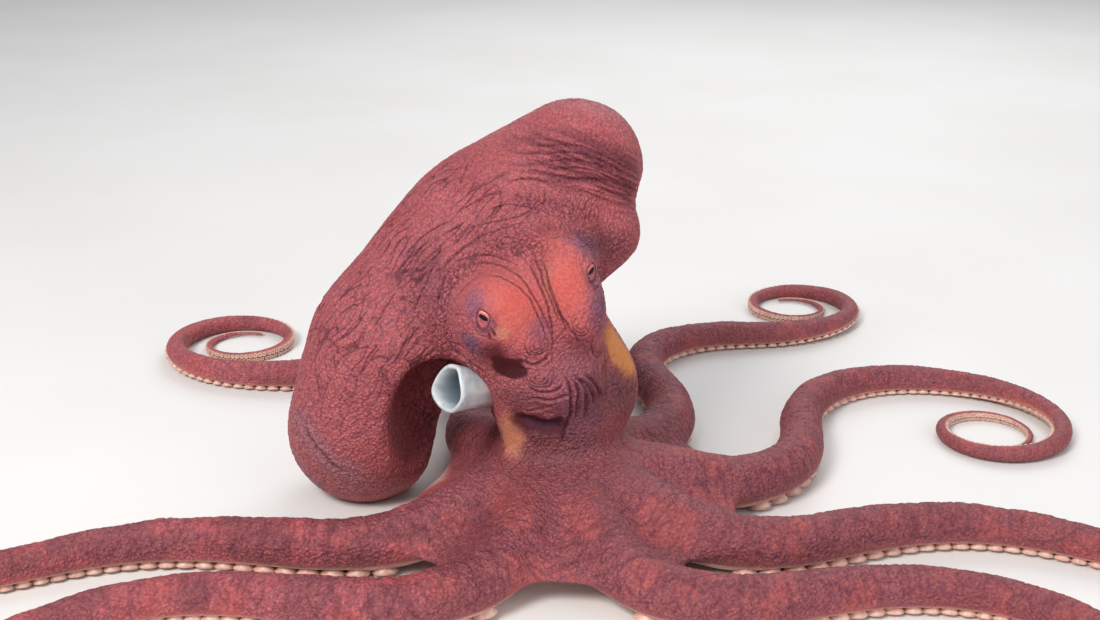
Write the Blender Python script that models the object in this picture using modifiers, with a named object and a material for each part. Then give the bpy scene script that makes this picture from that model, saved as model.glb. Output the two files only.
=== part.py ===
"""Day octopus (Octopus cyanea), life size, resting on the floor.

The head leans forward over the crown of arms, the mantle lies behind it and
sags down to the animal's right, where its free rim rests on the floor.
The front of the animal faces -Y, its right side is at -X.
"""
import math

import bmesh
import bpy
import numpy as np
from mathutils import Matrix, Vector
from mathutils.bvhtree import BVHTree

CM = 0.01
GAP = 0.0003

# Mantle: (centre, half axes) in centimetres, from the rear end down to the free rim.
MANTLE_END = ((1.0, 2.5, 12.92), (2.68, 2.7, 2.62))
MANTLE_MIDDLE = ((-2.15, 2.5, 9.65), (3.95, 3.85, 3.95))
MANTLE_SAG = ((-6.1, 1.0, 5.75), (3.55, 3.5, 3.55))
MANTLE_RIM = ((-7.4, 0.5, 2.7), (3.1, 3.1, 3.1))
MANTLE_LOBE = ((1.5, 1.5, 10.5), (2.15, 2.25, 1.6))

# Head: core, the two raised eye bulges, brow, muzzle, neck column and cheek.
HEAD_CORE = ((-0.3, -2.5, 7.6), (2.3, 2.2, 2.8))
HEAD_BROW = ((-0.5, -1.8, 10.2), (2.2, 2.2, 1.6))
NAPE = ((-0.5, -0.3, 10.9), (2.5, 1.7, 1.6))
SHOULDER = ((-3.0, -1.9, 8.4), (1.7, 1.5, 1.8))
EYE_BULGE_RIGHT = ((-1.75, -4.05, 9.0), (1.75, 1.55, 1.8))
BULGE_RIGHT_TAIL = ((-0.75, -4.1, 8.2), (0.9, 1.25, 0.95))
EYE_BULGE_LEFT = ((0.5, -3.45, 10.6), (1.2, 1.35, 1.3))
BULGE_LEFT_TAIL = ((1.05, -3.8, 9.1), (1.05, 1.4, 1.3))
MUZZLE = ((-0.1, -3.6, 6.6), (2.0, 1.55, 1.5))
NECK_COLUMN = ((0.15, -2.3, 4.2), (2.15, 2.0, 1.9))
NECK_BACK = ((-0.6, 0.5, 5.4), (2.3, 2.0, 2.4))
CHEEK = ((1.45, -1.5, 5.3), (2.0, 1.8, 2.4))

# Crown of the arms and the web between their roots.
CROWN = ((0.3, -2.4, 1.5), (3.2, 3.0, 2.2))
WEB = ((0.3, -2.4, 0.2), (4.8, 4.5, 2.2))
WEB_ORDER = ["left_1", "left_2", "left_3", "left_4", "right_4", "right_3", "right_2", "right_1"]
WEB_THICKNESS = 0.6
WEB_SCALLOP = 0.34
WEB_DROOP = 0.45
MOUTH_HOLLOW = ((0.3, -2.4, 0.0), (2.1, 1.9, 0.6))

# Hollow under the mantle's arch, where the funnel comes out.
ARCH_HOLLOW = ((-4.3, -1.2, 3.8), (1.9, 3.6, 2.8))

# Eyes: a point on each bulge and the way the eye looks; the ball is set into
# the head so that only a low cap of it stands out.
EYE_RADIUS = 0.75
EYE_SHOWS = 0.12
EYES = {
    "eye_right": ((-2.38, -5.6, 9.55), (-0.30, -0.90, 0.30)),
    "eye_left": ((1.42, -4.1, 10.76), (0.75, -0.62, 0.22)),
}

# Funnel: where it springs from, where its mouth is, radii and wall.
FUNNEL_ROOT = (-1.9, -1.85, 5.35)
FUNNEL_MOUTH = (-3.85, -3.15, 5.9)
FUNNEL_ROOT_RADIUS = 0.75
FUNNEL_MOUTH_RADIUS = 0.92
FUNNEL_WALL = 0.24

# Arms: all lie on the floor and leave the crown's centre in a star.
ARM_LENGTH = 46.0
ARM_START = 2.2
ARM_ROOT_RADIUS = 1.32
ARM_TIP_RADIUS = 0.16
ARM_TAPER = 1.25
ARM_SIDES = 8
ROOT_RISE = 0.9
ROOT_RISE_LENGTH = 5.5
WEB_REACH = 6.5
# First heading in degrees, then bends as (from, to, degrees, power) along the
# arm's length; power 0 eases in and out, another power tightens into a coil.
ARMS = {
    "left_1": (-72, [(0.03, 0.24, 90, 0), (0.24, 0.44, -46, 0), (0.36, 1.0, -570, 1.8)]),
    "right_1": (-108, [(0.03, 0.24, -86, 0), (0.24, 0.46, 48, 0), (0.40, 1.0, 560, 1.8)]),
    "left_2": (-36, [(0.03, 0.20, 58, 0), (0.20, 0.44, -54, 0), (0.38, 1.0, 570, 1.8)]),
    "right_2": (-146, [(0.03, 0.20, -44, 0), (0.20, 0.42, 40, 0), (0.36, 1.0, -570, 1.8)]),
    "left_3": (6, [(0.04, 0.26, 78, 0), (0.24, 0.50, -84, 0), (0.42, 1.0, -540, 1.8)]),
    "right_3": (134, [(0.0, 0.13, -46, 0), (0.14, 0.36, 96, 0), (0.38, 1.0, -570, 1.8)]),
    "left_4": (50, [(0.04, 0.24, 56, 0), (0.22, 0.48, -104, 0), (0.44, 1.0, 560, 1.8)]),
    "right_4": (98, [(0.05, 0.22, -34, 0), (0.20, 0.48, 98, 0), (0.42, 1.0, -570, 1.8)]),
}
# Each arm is cut into lengths: (name, from, to, rings).
ARM_LENGTHS = [("base", WEB_REACH / ARM_LENGTH, 0.38, 10), ("middle", 0.38, 0.66, 11), ("tip", 0.66, 1.0, 19)]

VOXEL = 0.0028
SMOOTHING = 9
TRIANGLES = {"mantle": 1040, "head": 1080, "web": 840}

COLOURS = {
    "mantle_skin": (0.42, 0.12, 0.14),
    "head_skin": (0.48, 0.13, 0.11),
    "arm_skin": (0.36, 0.11, 0.11),
    "funnel_skin": (0.42, 0.45, 0.48),
    "eyeball": (0.60, 0.25, 0.16),
}


def clear_scene():
    """Remove whatever objects the new file opens with."""
    for item in list(bpy.data.objects):
        bpy.data.objects.remove(item, do_unlink=True)


def new_collection(name):
    """Make a collection and link it to the scene."""
    group = bpy.data.collections.new(name)
    bpy.context.scene.collection.children.link(group)
    return group


def principled(name, colour):
    """Make a plain Principled material."""
    material = bpy.data.materials.new(name)
    material.use_nodes = True
    shader = material.node_tree.nodes["Principled BSDF"]
    shader.inputs["Base Color"].default_value = (*colour, 1.0)
    shader.inputs["Roughness"].default_value = 0.45
    return material


def new_object(name, bm, group):
    """Turn a bmesh into an object in the given collection."""
    mesh = bpy.data.meshes.new(name)
    bmesh.ops.recalc_face_normals(bm, faces=bm.faces)
    bm.to_mesh(mesh)
    bm.free()
    item = bpy.data.objects.new(name, mesh)
    group.objects.link(item)
    return item


def face_outward(item):
    """Turn every face of a closed mesh to look outward."""
    bm = bmesh.new()
    bm.from_mesh(item.data)
    bmesh.ops.recalc_face_normals(bm, faces=bm.faces)
    bm.to_mesh(item.data)
    bm.free()


def apply_modifiers(item):
    """Replace the object's mesh by what its modifiers make of it."""
    bpy.context.view_layer.update()
    graph = bpy.context.evaluated_depsgraph_get()
    mesh = bpy.data.meshes.new_from_object(item.evaluated_get(graph))
    item.modifiers.clear()
    item.data = mesh


def add_ellipsoid(bm, shape, segments=24, rings=16):
    """Add one ellipsoid, given in centimetres, to a bmesh."""
    centre, radii = shape
    place = Matrix.Translation(Vector(centre) * CM) @ Matrix.Diagonal((*[r * CM for r in radii], 1.0))
    bmesh.ops.create_uvsphere(bm, u_segments=segments, v_segments=rings, radius=1.0, matrix=place)


def add_link(target, first, second):
    """Add the tight hull round two ellipsoids, so one flows into the other."""
    bm = bmesh.new()
    add_ellipsoid(bm, first)
    add_ellipsoid(bm, second)
    result = bmesh.ops.convex_hull(bm, input=bm.verts)
    spare = {v for v in result["geom_interior"] + result["geom_unused"] if isinstance(v, bmesh.types.BMVert)}
    bmesh.ops.delete(bm, geom=list(spare), context="VERTS")
    mesh = bpy.data.meshes.new("link")
    bm.to_mesh(mesh)
    bm.free()
    target.from_mesh(mesh)
    bpy.data.meshes.remove(mesh)


def flow_together(item, smoothing=SMOOTHING):
    """Merge overlapping shapes into one smooth closed skin."""
    remesh = item.modifiers.new("Merge", "REMESH")
    remesh.mode = "VOXEL"
    remesh.voxel_size = VOXEL
    smooth = item.modifiers.new("Soften", "SMOOTH")
    smooth.factor = 0.5
    smooth.iterations = smoothing
    apply_modifiers(item)


def thin_out(item, triangles):
    """Reduce the mesh to about the given number of triangles."""
    faces = sum(len(p.vertices) - 2 for p in item.data.polygons)
    decimate = item.modifiers.new("Thin out", "DECIMATE")
    decimate.ratio = min(1.0, triangles / faces)
    apply_modifiers(item)


def cut_away(item, cutter):
    """Take the cutter's volume out of the object."""
    cut = item.modifiers.new("Cut", "BOOLEAN")
    cut.operation = "DIFFERENCE"
    cut.solver = "EXACT"
    cut.object = cutter
    apply_modifiers(item)


def keep_largest(item):
    """Drop crumbs a cut may leave beside the main body."""
    bm = bmesh.new()
    bm.from_mesh(item.data)
    groups = []
    todo = set(bm.verts)
    while todo:
        group = set()
        stack = [todo.pop()]
        while stack:
            vertex = stack.pop()
            group.add(vertex)
            near = [e.other_vert(vertex) for e in vertex.link_edges]
            near = [v for v in near if v in todo]
            todo.difference_update(near)
            stack.extend(near)
        groups.append(group)
    groups.sort(key=len)
    for group in groups[:-1]:
        bmesh.ops.delete(bm, geom=list(group), context="VERTS")
    bmesh.ops.remove_doubles(bm, verts=bm.verts, dist=0.00005)
    bm.to_mesh(item.data)
    bm.free()


def as_cutter(item, name, group, swell=GAP):
    """Copy a solid, swollen by the joint's gap, to cut its neighbour with."""
    cutter = bpy.data.objects.new(name, item.data.copy())
    group.objects.link(cutter)
    displace = cutter.modifiers.new("Swell", "DISPLACE")
    displace.strength = swell
    displace.mid_level = 0.0
    apply_modifiers(cutter)
    hide_cutter(cutter)
    return cutter


def hide_cutter(cutter):
    """Keep a cutter out of the render."""
    cutter.hide_render = True
    cutter.display_type = "WIRE"


def ellipsoid_cutter(name, shape, group, segments=20, rings=12):
    """Make an ellipsoid to cut with."""
    bm = bmesh.new()
    add_ellipsoid(bm, shape, segments, rings)
    cutter = new_object(name, bm, group)
    hide_cutter(cutter)
    return cutter


def floor_cutter(group):
    """Make a slab whose top is the floor."""
    bm = bmesh.new()
    place = Matrix.Translation((0.0, 0.0, -0.05)) @ Matrix.Diagonal((1.6, 1.6, 0.1, 1.0))
    bmesh.ops.create_cube(bm, size=1.0, matrix=place)
    cutter = new_object("floor_cutter", bm, group)
    hide_cutter(cutter)
    return cutter


def ease(t):
    """Smooth step from 0 to 1."""
    t = np.clip(t, 0.0, 1.0)
    return t * t * (3.0 - 2.0 * t)


def arm_radius(f):
    """Radius of an arm in centimetres at fraction f of its length."""
    return ARM_TIP_RADIUS + (ARM_ROOT_RADIUS - ARM_TIP_RADIUS) * (1.0 - f) ** ARM_TAPER


def arm_line(name, samples=921):
    """Plan position, heading and fraction along one arm, in centimetres."""
    start, bends = ARMS[name]
    f = np.linspace(0.0, 1.0, samples)
    angle = np.full(samples, float(start))
    for first, last, degrees, power in bends:
        t = np.clip((f - first) / (last - first), 0.0, 1.0)
        angle += degrees * (ease(t) if power == 0 else t ** power)
    angle = np.radians(angle)
    step = ARM_LENGTH / (samples - 1)
    x = CROWN[0][0] + ARM_START * math.cos(angle[0]) + np.append(0.0, np.cumsum(np.cos(angle[:-1])) * step)
    y = CROWN[0][1] + ARM_START * math.sin(angle[0]) + np.append(0.0, np.cumsum(np.sin(angle[:-1])) * step)
    return f, x, y, angle


def arm_ring(line, f):
    """Points of the arm's cross-section at fraction f, flat side down."""
    fractions, xs, ys, angles = line
    x = np.interp(f, fractions, xs)
    y = np.interp(f, fractions, ys)
    angle = np.interp(f, fractions, angles)
    radius = arm_radius(f)
    half = math.pi / ARM_SIDES
    lift = ROOT_RISE * float(1.0 - ease(f * ARM_LENGTH / ROOT_RISE_LENGTH))
    height = radius * math.cos(half) + lift
    points = []
    for k in range(ARM_SIDES):
        turn = half + 2.0 * math.pi * k / ARM_SIDES - math.pi / 2.0
        side = radius * math.cos(turn)
        up = radius * math.sin(turn)
        points.append(Vector((x - side * math.sin(angle), y + side * math.cos(angle), height + up)) * CM)
    return points


def add_tube(bm, rings):
    """Loft a closed tube through rings of points, with flat ends."""
    loops = [[bm.verts.new(p) for p in ring] for ring in rings]
    for lower, upper in zip(loops, loops[1:]):
        for k in range(len(lower)):
            after = (k + 1) % len(lower)
            bm.faces.new((lower[k], lower[after], upper[after], upper[k]))
    bm.faces.new(list(reversed(loops[0])))
    bm.faces.new(loops[-1])


def arm_tube(bm, name, first, last, rings):
    """Loft one length of an arm."""
    line = arm_line(name)
    add_tube(bm, [arm_ring(line, f) for f in np.linspace(first, last, rings)])


def add_membrane(bm, first, second):
    """Loft the web between two neighbouring arms, with a scalloped edge."""
    lines = [arm_line(first), arm_line(second)]
    rings = []
    for reach in np.linspace(0.4, WEB_REACH - 0.4, 7):
        top = []
        for k in np.linspace(0.0, 1.0, 9):
            bow = 4.0 * k * (1.0 - k)
            f = reach * (1.0 - WEB_SCALLOP * bow) / ARM_LENGTH
            ends = [np.array([np.interp(f, line[0], line[1]), np.interp(f, line[0], line[2])]) for line in lines]
            lift = ROOT_RISE * float(1.0 - ease(f * ARM_LENGTH / ROOT_RISE_LENGTH))
            height = 1.45 * arm_radius(f) + lift - WEB_DROOP * bow
            x, y = ends[0] * (1.0 - k) + ends[1] * k
            top.append(Vector((x, y, height)) * CM)
        bottom = [p - Vector((0.0, 0.0, WEB_THICKNESS * CM)) for p in reversed(top)]
        rings.append(top + bottom)
    add_tube(bm, rings)


def build_arm_lengths(group):
    """Make the free lengths of all eight arms, a hair apart."""
    built = []
    gap = GAP / CM / ARM_LENGTH
    for name in ARMS:
        for length, first, last, rings in ARM_LENGTHS:
            bm = bmesh.new()
            arm_tube(bm, name, first + gap, last, rings)
            built.append(new_object(f"arm_{name}_{length}", bm, group))
    return built


def arm_end_cutters(group):
    """Make boxes that cut the arm roots square where the free arms start."""
    bm = bmesh.new()
    for name in ARMS:
        fractions, xs, ys, angles = arm_line(name)
        f = WEB_REACH / ARM_LENGTH
        x = np.interp(f, fractions, xs)
        y = np.interp(f, fractions, ys)
        turn = Matrix.Rotation(np.interp(f, fractions, angles), 4, "Z")
        place = Matrix.Translation(Vector((x, y, 1.5)) * CM) @ turn
        box = Matrix.Translation((0.01, 0.0, 0.0)) @ Matrix.Diagonal((0.02, 0.027, 0.05, 1.0))
        bmesh.ops.create_cube(bm, size=1.0, matrix=place @ box)
    cutter = new_object("arm_end_cutters", bm, group)
    hide_cutter(cutter)
    return cutter


def build_mantle(group, cutters, floor):
    """Make the bag of the mantle, from its end down to the rim on the floor."""
    bm = bmesh.new()
    add_link(bm, MANTLE_END, MANTLE_MIDDLE)
    add_link(bm, MANTLE_MIDDLE, MANTLE_SAG)
    add_link(bm, MANTLE_SAG, MANTLE_RIM)
    add_link(bm, MANTLE_LOBE, MANTLE_MIDDLE)
    mantle = new_object("mantle", bm, group)
    flow_together(mantle)
    thin_out(mantle, TRIANGLES["mantle"])
    cut_away(mantle, ellipsoid_cutter("arch_cutter", ARCH_HOLLOW, cutters))
    cut_away(mantle, floor)
    keep_largest(mantle)
    return mantle


def build_head(group, cutters, mantle):
    """Make the head with its eye bulges, cut to sit against the mantle."""
    bm = bmesh.new()
    add_link(bm, HEAD_CORE, HEAD_BROW)
    add_link(bm, HEAD_BROW, NAPE)
    add_link(bm, HEAD_CORE, SHOULDER)
    add_link(bm, EYE_BULGE_RIGHT, BULGE_RIGHT_TAIL)
    add_link(bm, EYE_BULGE_LEFT, BULGE_LEFT_TAIL)
    add_ellipsoid(bm, MUZZLE)
    add_link(bm, HEAD_CORE, NECK_COLUMN)
    add_link(bm, NECK_COLUMN, CHEEK)
    add_link(bm, NECK_COLUMN, NECK_BACK)
    add_link(bm, NECK_BACK, CHEEK)
    add_link(bm, HEAD_CORE, CHEEK)
    head = new_object("head", bm, group)
    flow_together(head, 5)
    thin_out(head, TRIANGLES["head"])
    cut_away(head, as_cutter(mantle, "mantle_cutter", cutters))
    cut_away(head, bpy.data.objects["arch_cutter"])
    keep_largest(head)
    return head


def eye_centre(head, name):
    """Find where the ball sits so that only its cap stands out of the head."""
    point, look = EYES[name]
    look = Vector(look).normalized()
    bm = bmesh.new()
    bm.from_mesh(head.data)
    surface = BVHTree.FromBMesh(bm)
    bm.free()
    hit = surface.ray_cast((Vector(point) + look * 4.0) * CM, -look)[0]
    return hit / CM - look * (EYE_RADIUS - EYE_SHOWS)


def build_eyes(group, cutters, head):
    """Make the two eyeballs and their sockets in the head."""
    eyes = []
    for name in EYES:
        centre = eye_centre(head, name)
        bm = bmesh.new()
        add_ellipsoid(bm, (centre, (EYE_RADIUS,) * 3), 12, 7)
        eyes.append(new_object(name, bm, group))
        socket = (EYE_RADIUS + 0.03,) * 3
        cut_away(head, ellipsoid_cutter(name + "_socket", (centre, socket), cutters, 12, 7))
    keep_largest(head)
    return eyes


def build_web(group, cutters, floor, neighbours):
    """Make the crown, the web and the eight arm roots that spread from it."""
    bm = bmesh.new()
    add_ellipsoid(bm, CROWN)
    add_ellipsoid(bm, WEB)
    for name in ARMS:
        arm_tube(bm, name, 0.0, (WEB_REACH + 0.8) / ARM_LENGTH, 8)
    for first, second in zip(WEB_ORDER, WEB_ORDER[1:] + WEB_ORDER[:1]):
        add_membrane(bm, first, second)
    web = new_object("web", bm, group)
    flow_together(web, 4)
    thin_out(web, TRIANGLES["web"])
    cut_away(web, floor)
    cut_away(web, arm_end_cutters(cutters))
    cut_away(web, ellipsoid_cutter("mouth_cutter", MOUTH_HOLLOW, cutters, 16, 8))
    for item in neighbours:
        cut_away(web, as_cutter(item, item.name + "_web_cutter", cutters))
    keep_largest(web)
    return web


def build_funnel(group, cutters, neighbours):
    """Make the open funnel that looks out from under the arch."""
    root = Vector(FUNNEL_ROOT)
    mouth = Vector(FUNNEL_MOUTH)
    length = (mouth - root).length
    outer = [(FUNNEL_ROOT_RADIUS, 0.0), (0.80, 0.35), (0.86, 0.7), (FUNNEL_MOUTH_RADIUS, 1.0)]
    profile = [(0.0, 0.0)] + [(r, t * length) for r, t in outer]
    profile += [(r - FUNNEL_WALL, t * length) for r, t in reversed(outer[1:])]
    profile += [(0.0, 0.3 * length)]
    mesh = bpy.data.meshes.new("funnel")
    points = [Vector((x, 0.0, z)) * CM for x, z in profile]
    mesh.from_pydata(points, [(k, k + 1) for k in range(len(points) - 1)], [])
    funnel = bpy.data.objects.new("funnel", mesh)
    group.objects.link(funnel)
    screw = funnel.modifiers.new("Turn", "SCREW")
    screw.axis = "Z"
    screw.steps = 12
    screw.render_steps = 12
    screw.use_merge_vertices = True
    screw.merge_threshold = 0.00005
    apply_modifiers(funnel)
    turn = (mouth - root).to_track_quat("Z", "Y").to_matrix().to_4x4()
    funnel.data.transform(Matrix.Translation(root * CM) @ turn)
    face_outward(funnel)
    for item in neighbours:
        cut_away(funnel, as_cutter(item, item.name + "_funnel_cutter", cutters))
    keep_largest(funnel)
    return funnel


def paint(items, material):
    """Give every item the same single material."""
    for item in items:
        item.data.materials.clear()
        item.data.materials.append(material)


def main():
    """Build the whole octopus."""
    clear_scene()
    bpy.context.scene.unit_settings.system = "METRIC"
    body = new_collection("octopus")
    cutters = new_collection("cutters")
    floor = floor_cutter(cutters)
    mantle = build_mantle(body, cutters, floor)
    head = build_head(body, cutters, mantle)
    eyes = build_eyes(body, cutters, head)
    web = build_web(body, cutters, floor, [mantle, head])
    funnel = build_funnel(body, cutters, [mantle, head, web])
    arms = build_arm_lengths(body)
    materials = {name: principled(name, colour) for name, colour in COLOURS.items()}
    paint([mantle], materials["mantle_skin"])
    paint([head], materials["head_skin"])
    paint([web] + arms, materials["arm_skin"])
    paint([funnel], materials["funnel_skin"])
    paint(eyes, materials["eyeball"])


main()
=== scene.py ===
"""Looks of a life-size octopus: one wrinkled skin, its suckers, funnel and eyes, on a pale floor.

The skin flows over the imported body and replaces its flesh.  X runs to the right as the head is
seen from the front, Y to the back, Z up.  Lengths are centimetres unless a name says otherwise.
"""

import math

import bmesh
import bpy
import numpy as np
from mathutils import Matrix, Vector
from mathutils.kdtree import KDTree


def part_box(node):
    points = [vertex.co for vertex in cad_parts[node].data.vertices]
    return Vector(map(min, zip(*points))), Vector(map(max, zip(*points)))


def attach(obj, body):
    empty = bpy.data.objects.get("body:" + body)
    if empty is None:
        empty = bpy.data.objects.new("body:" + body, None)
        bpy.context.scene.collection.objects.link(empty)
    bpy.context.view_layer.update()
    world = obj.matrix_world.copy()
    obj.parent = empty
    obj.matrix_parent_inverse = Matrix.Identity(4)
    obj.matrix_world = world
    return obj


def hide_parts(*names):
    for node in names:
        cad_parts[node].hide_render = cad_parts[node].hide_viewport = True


CM = 0.01

# The viewpoint: a little above the head, looking down on it.
VIEW_TARGET_HEIGHT = 7.8
VIEW_DISTANCE = 58.76
VIEW_ELEVATION = math.radians(20.0)
LENS = 50.0

# Arms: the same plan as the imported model, heading in degrees and bends (from, to, degrees, power).
ARM_LENGTH = 46.0
ARM_START = 2.2
ARM_ROOT_RADIUS = 1.32
ARM_TIP_RADIUS = 0.16
ARM_TAPER = 1.25
ROOT_RISE = 0.9
ROOT_RISE_LENGTH = 5.5
CROWN_CENTRE = (0.3, -2.4)
ARMS = {
    "left_1": (-72, [(0.03, 0.24, 90, 0), (0.24, 0.44, -46, 0), (0.36, 1.0, -570, 1.8)]),
    "right_1": (-108, [(0.03, 0.24, -86, 0), (0.24, 0.46, 48, 0), (0.40, 1.0, 560, 1.8)]),
    "left_2": (-36, [(0.03, 0.20, 58, 0), (0.20, 0.44, -54, 0), (0.38, 1.0, 570, 1.8)]),
    "right_2": (-146, [(0.03, 0.20, -44, 0), (0.20, 0.42, 40, 0), (0.36, 1.0, -570, 1.8)]),
    "left_3": (6, [(0.04, 0.26, 78, 0), (0.24, 0.50, -84, 0), (0.42, 1.0, -540, 1.8)]),
    "right_3": (134, [(0.0, 0.13, -46, 0), (0.14, 0.36, 96, 0), (0.38, 1.0, -570, 1.8)]),
    "left_4": (50, [(0.04, 0.24, 56, 0), (0.22, 0.48, -104, 0), (0.44, 1.0, 560, 1.8)]),
    "right_4": (98, [(0.05, 0.22, -34, 0), (0.20, 0.48, 98, 0), (0.42, 1.0, -570, 1.8)]),
}

# An arm's own section, in shares of its radius, and where it starts to roll on its side.
ARM_SKIN_START = 1.5
ARM_HALF_WIDTH = 0.97
ARM_TOP = 1.0
ARM_BOTTOM = 0.62
ARM_CENTRE_FLAT = 0.86
ARM_CENTRE_ROLLED = 0.97
ROLL_FROM = 0.46
ROLL_TO = 0.78
ROLL = math.radians(84.0)
SUCKERS_INWARD = ("left_3", "right_1", "right_4")

# Skin mesh.
BODY_SWELL = 0.025
BODY_VOXEL = 0.18
BODY_SMOOTHING = 20
SKIN_VOXEL = 0.100
FLOOR_GAP = 0.003
MANTLE_AXIS = (0.627, 0.149, 0.765)
# Where the web comes nearest the mantle: its skin keeps back there.
WEB_GAPS = [(-4.66, -0.48, 1.12), (-3.75, 1.40, 2.40), (-3.70, 2.60, 2.30)]
WEB_GAP_REACH = 1.8
WEB_GAP_DEPTH = 0.25
# The body's own relief starts above a height and round the mantle's sagging side.  Centres and
# reaches also mark where its creases are weak and which end rests on the floor.
BODY_HEIGHT = 2.4
SAG_CENTRE = (-7.4, 0.5, 2.7)
SAG_REACH = 4.4
WEAK_CREASES = ((-8.0, -1.5, 2.5), 6.0)
RESTING_END = ((-10.2, -0.3, 0.6), 3.2)

# Suckers, in shares of the arm's radius or of their own width.  The profile gives reach and rise.
SUCKER_START = 5.2
SUCKER_WIDTH = 0.85
SUCKER_SPACING = 0.9
SUCKER_ROW = 0.40
SUCKER_RIM = 0.50
SUCKER_PROFILE = (
    (0.34, -0.08), (0.38, 0.08), (SUCKER_RIM, 0.20), (0.45, 0.26), (0.28, 0.20), (0.14, 0.11), (0.04, 0.09),
)

# Eyes: where each looks, how deep the ball sinks, and its leaf-shaped opening, cut off by the brow.
# Across an eye is measured towards the midline of the face.
EYES = {"eye_right": ((-0.30, -0.90, 0.30), 0.06), "eye_left": ((0.75, -0.62, 0.22), 0.15)}
LID_HALF_WIDTH = 0.215
LID_HALF_HEIGHT = 0.345
BROW_DIRECTION = (0.42, 0.908)
BROW_DISTANCE = 0.19
LID_THICKNESS = 0.048
# Skin over the ball beside the opening, and how far the skin sinks below the ball inside it.
LID_COVER = 0.030
LID_SINK = 0.16
# Lines along the lids, as distances from the middle of the opening in shares of its rim's.
LID_EDGE = 1.15
LID_CREST = 1.30
LID_FOLD = 1.95
LID_FOLD_DEPTH = 0.025
PUPIL_HALF_LENGTH = 0.20
PUPIL_HALF_HEIGHT = 0.085
PUPIL_TILT = math.radians(-24.0)
PUPIL_SINK = 0.016
EYE_SIDES = 96
EYE_ROWS = 72

# Funnel: from the neck to its flared mouth.  The lean and the slant shape the mouth.
FUNNEL_ROOT = (-1.9, -1.85, 5.35)
FUNNEL_MOUTH = (-3.85, -3.15, 5.9)
FUNNEL_ROOT_RADIUS = 0.74
FUNNEL_MOUTH_RADIUS = 0.84
FUNNEL_LIP = 0.048
FUNNEL_SLANT = 0.30
FUNNEL_LEAN = 0.13
FUNNEL_SIDES = 72

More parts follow.
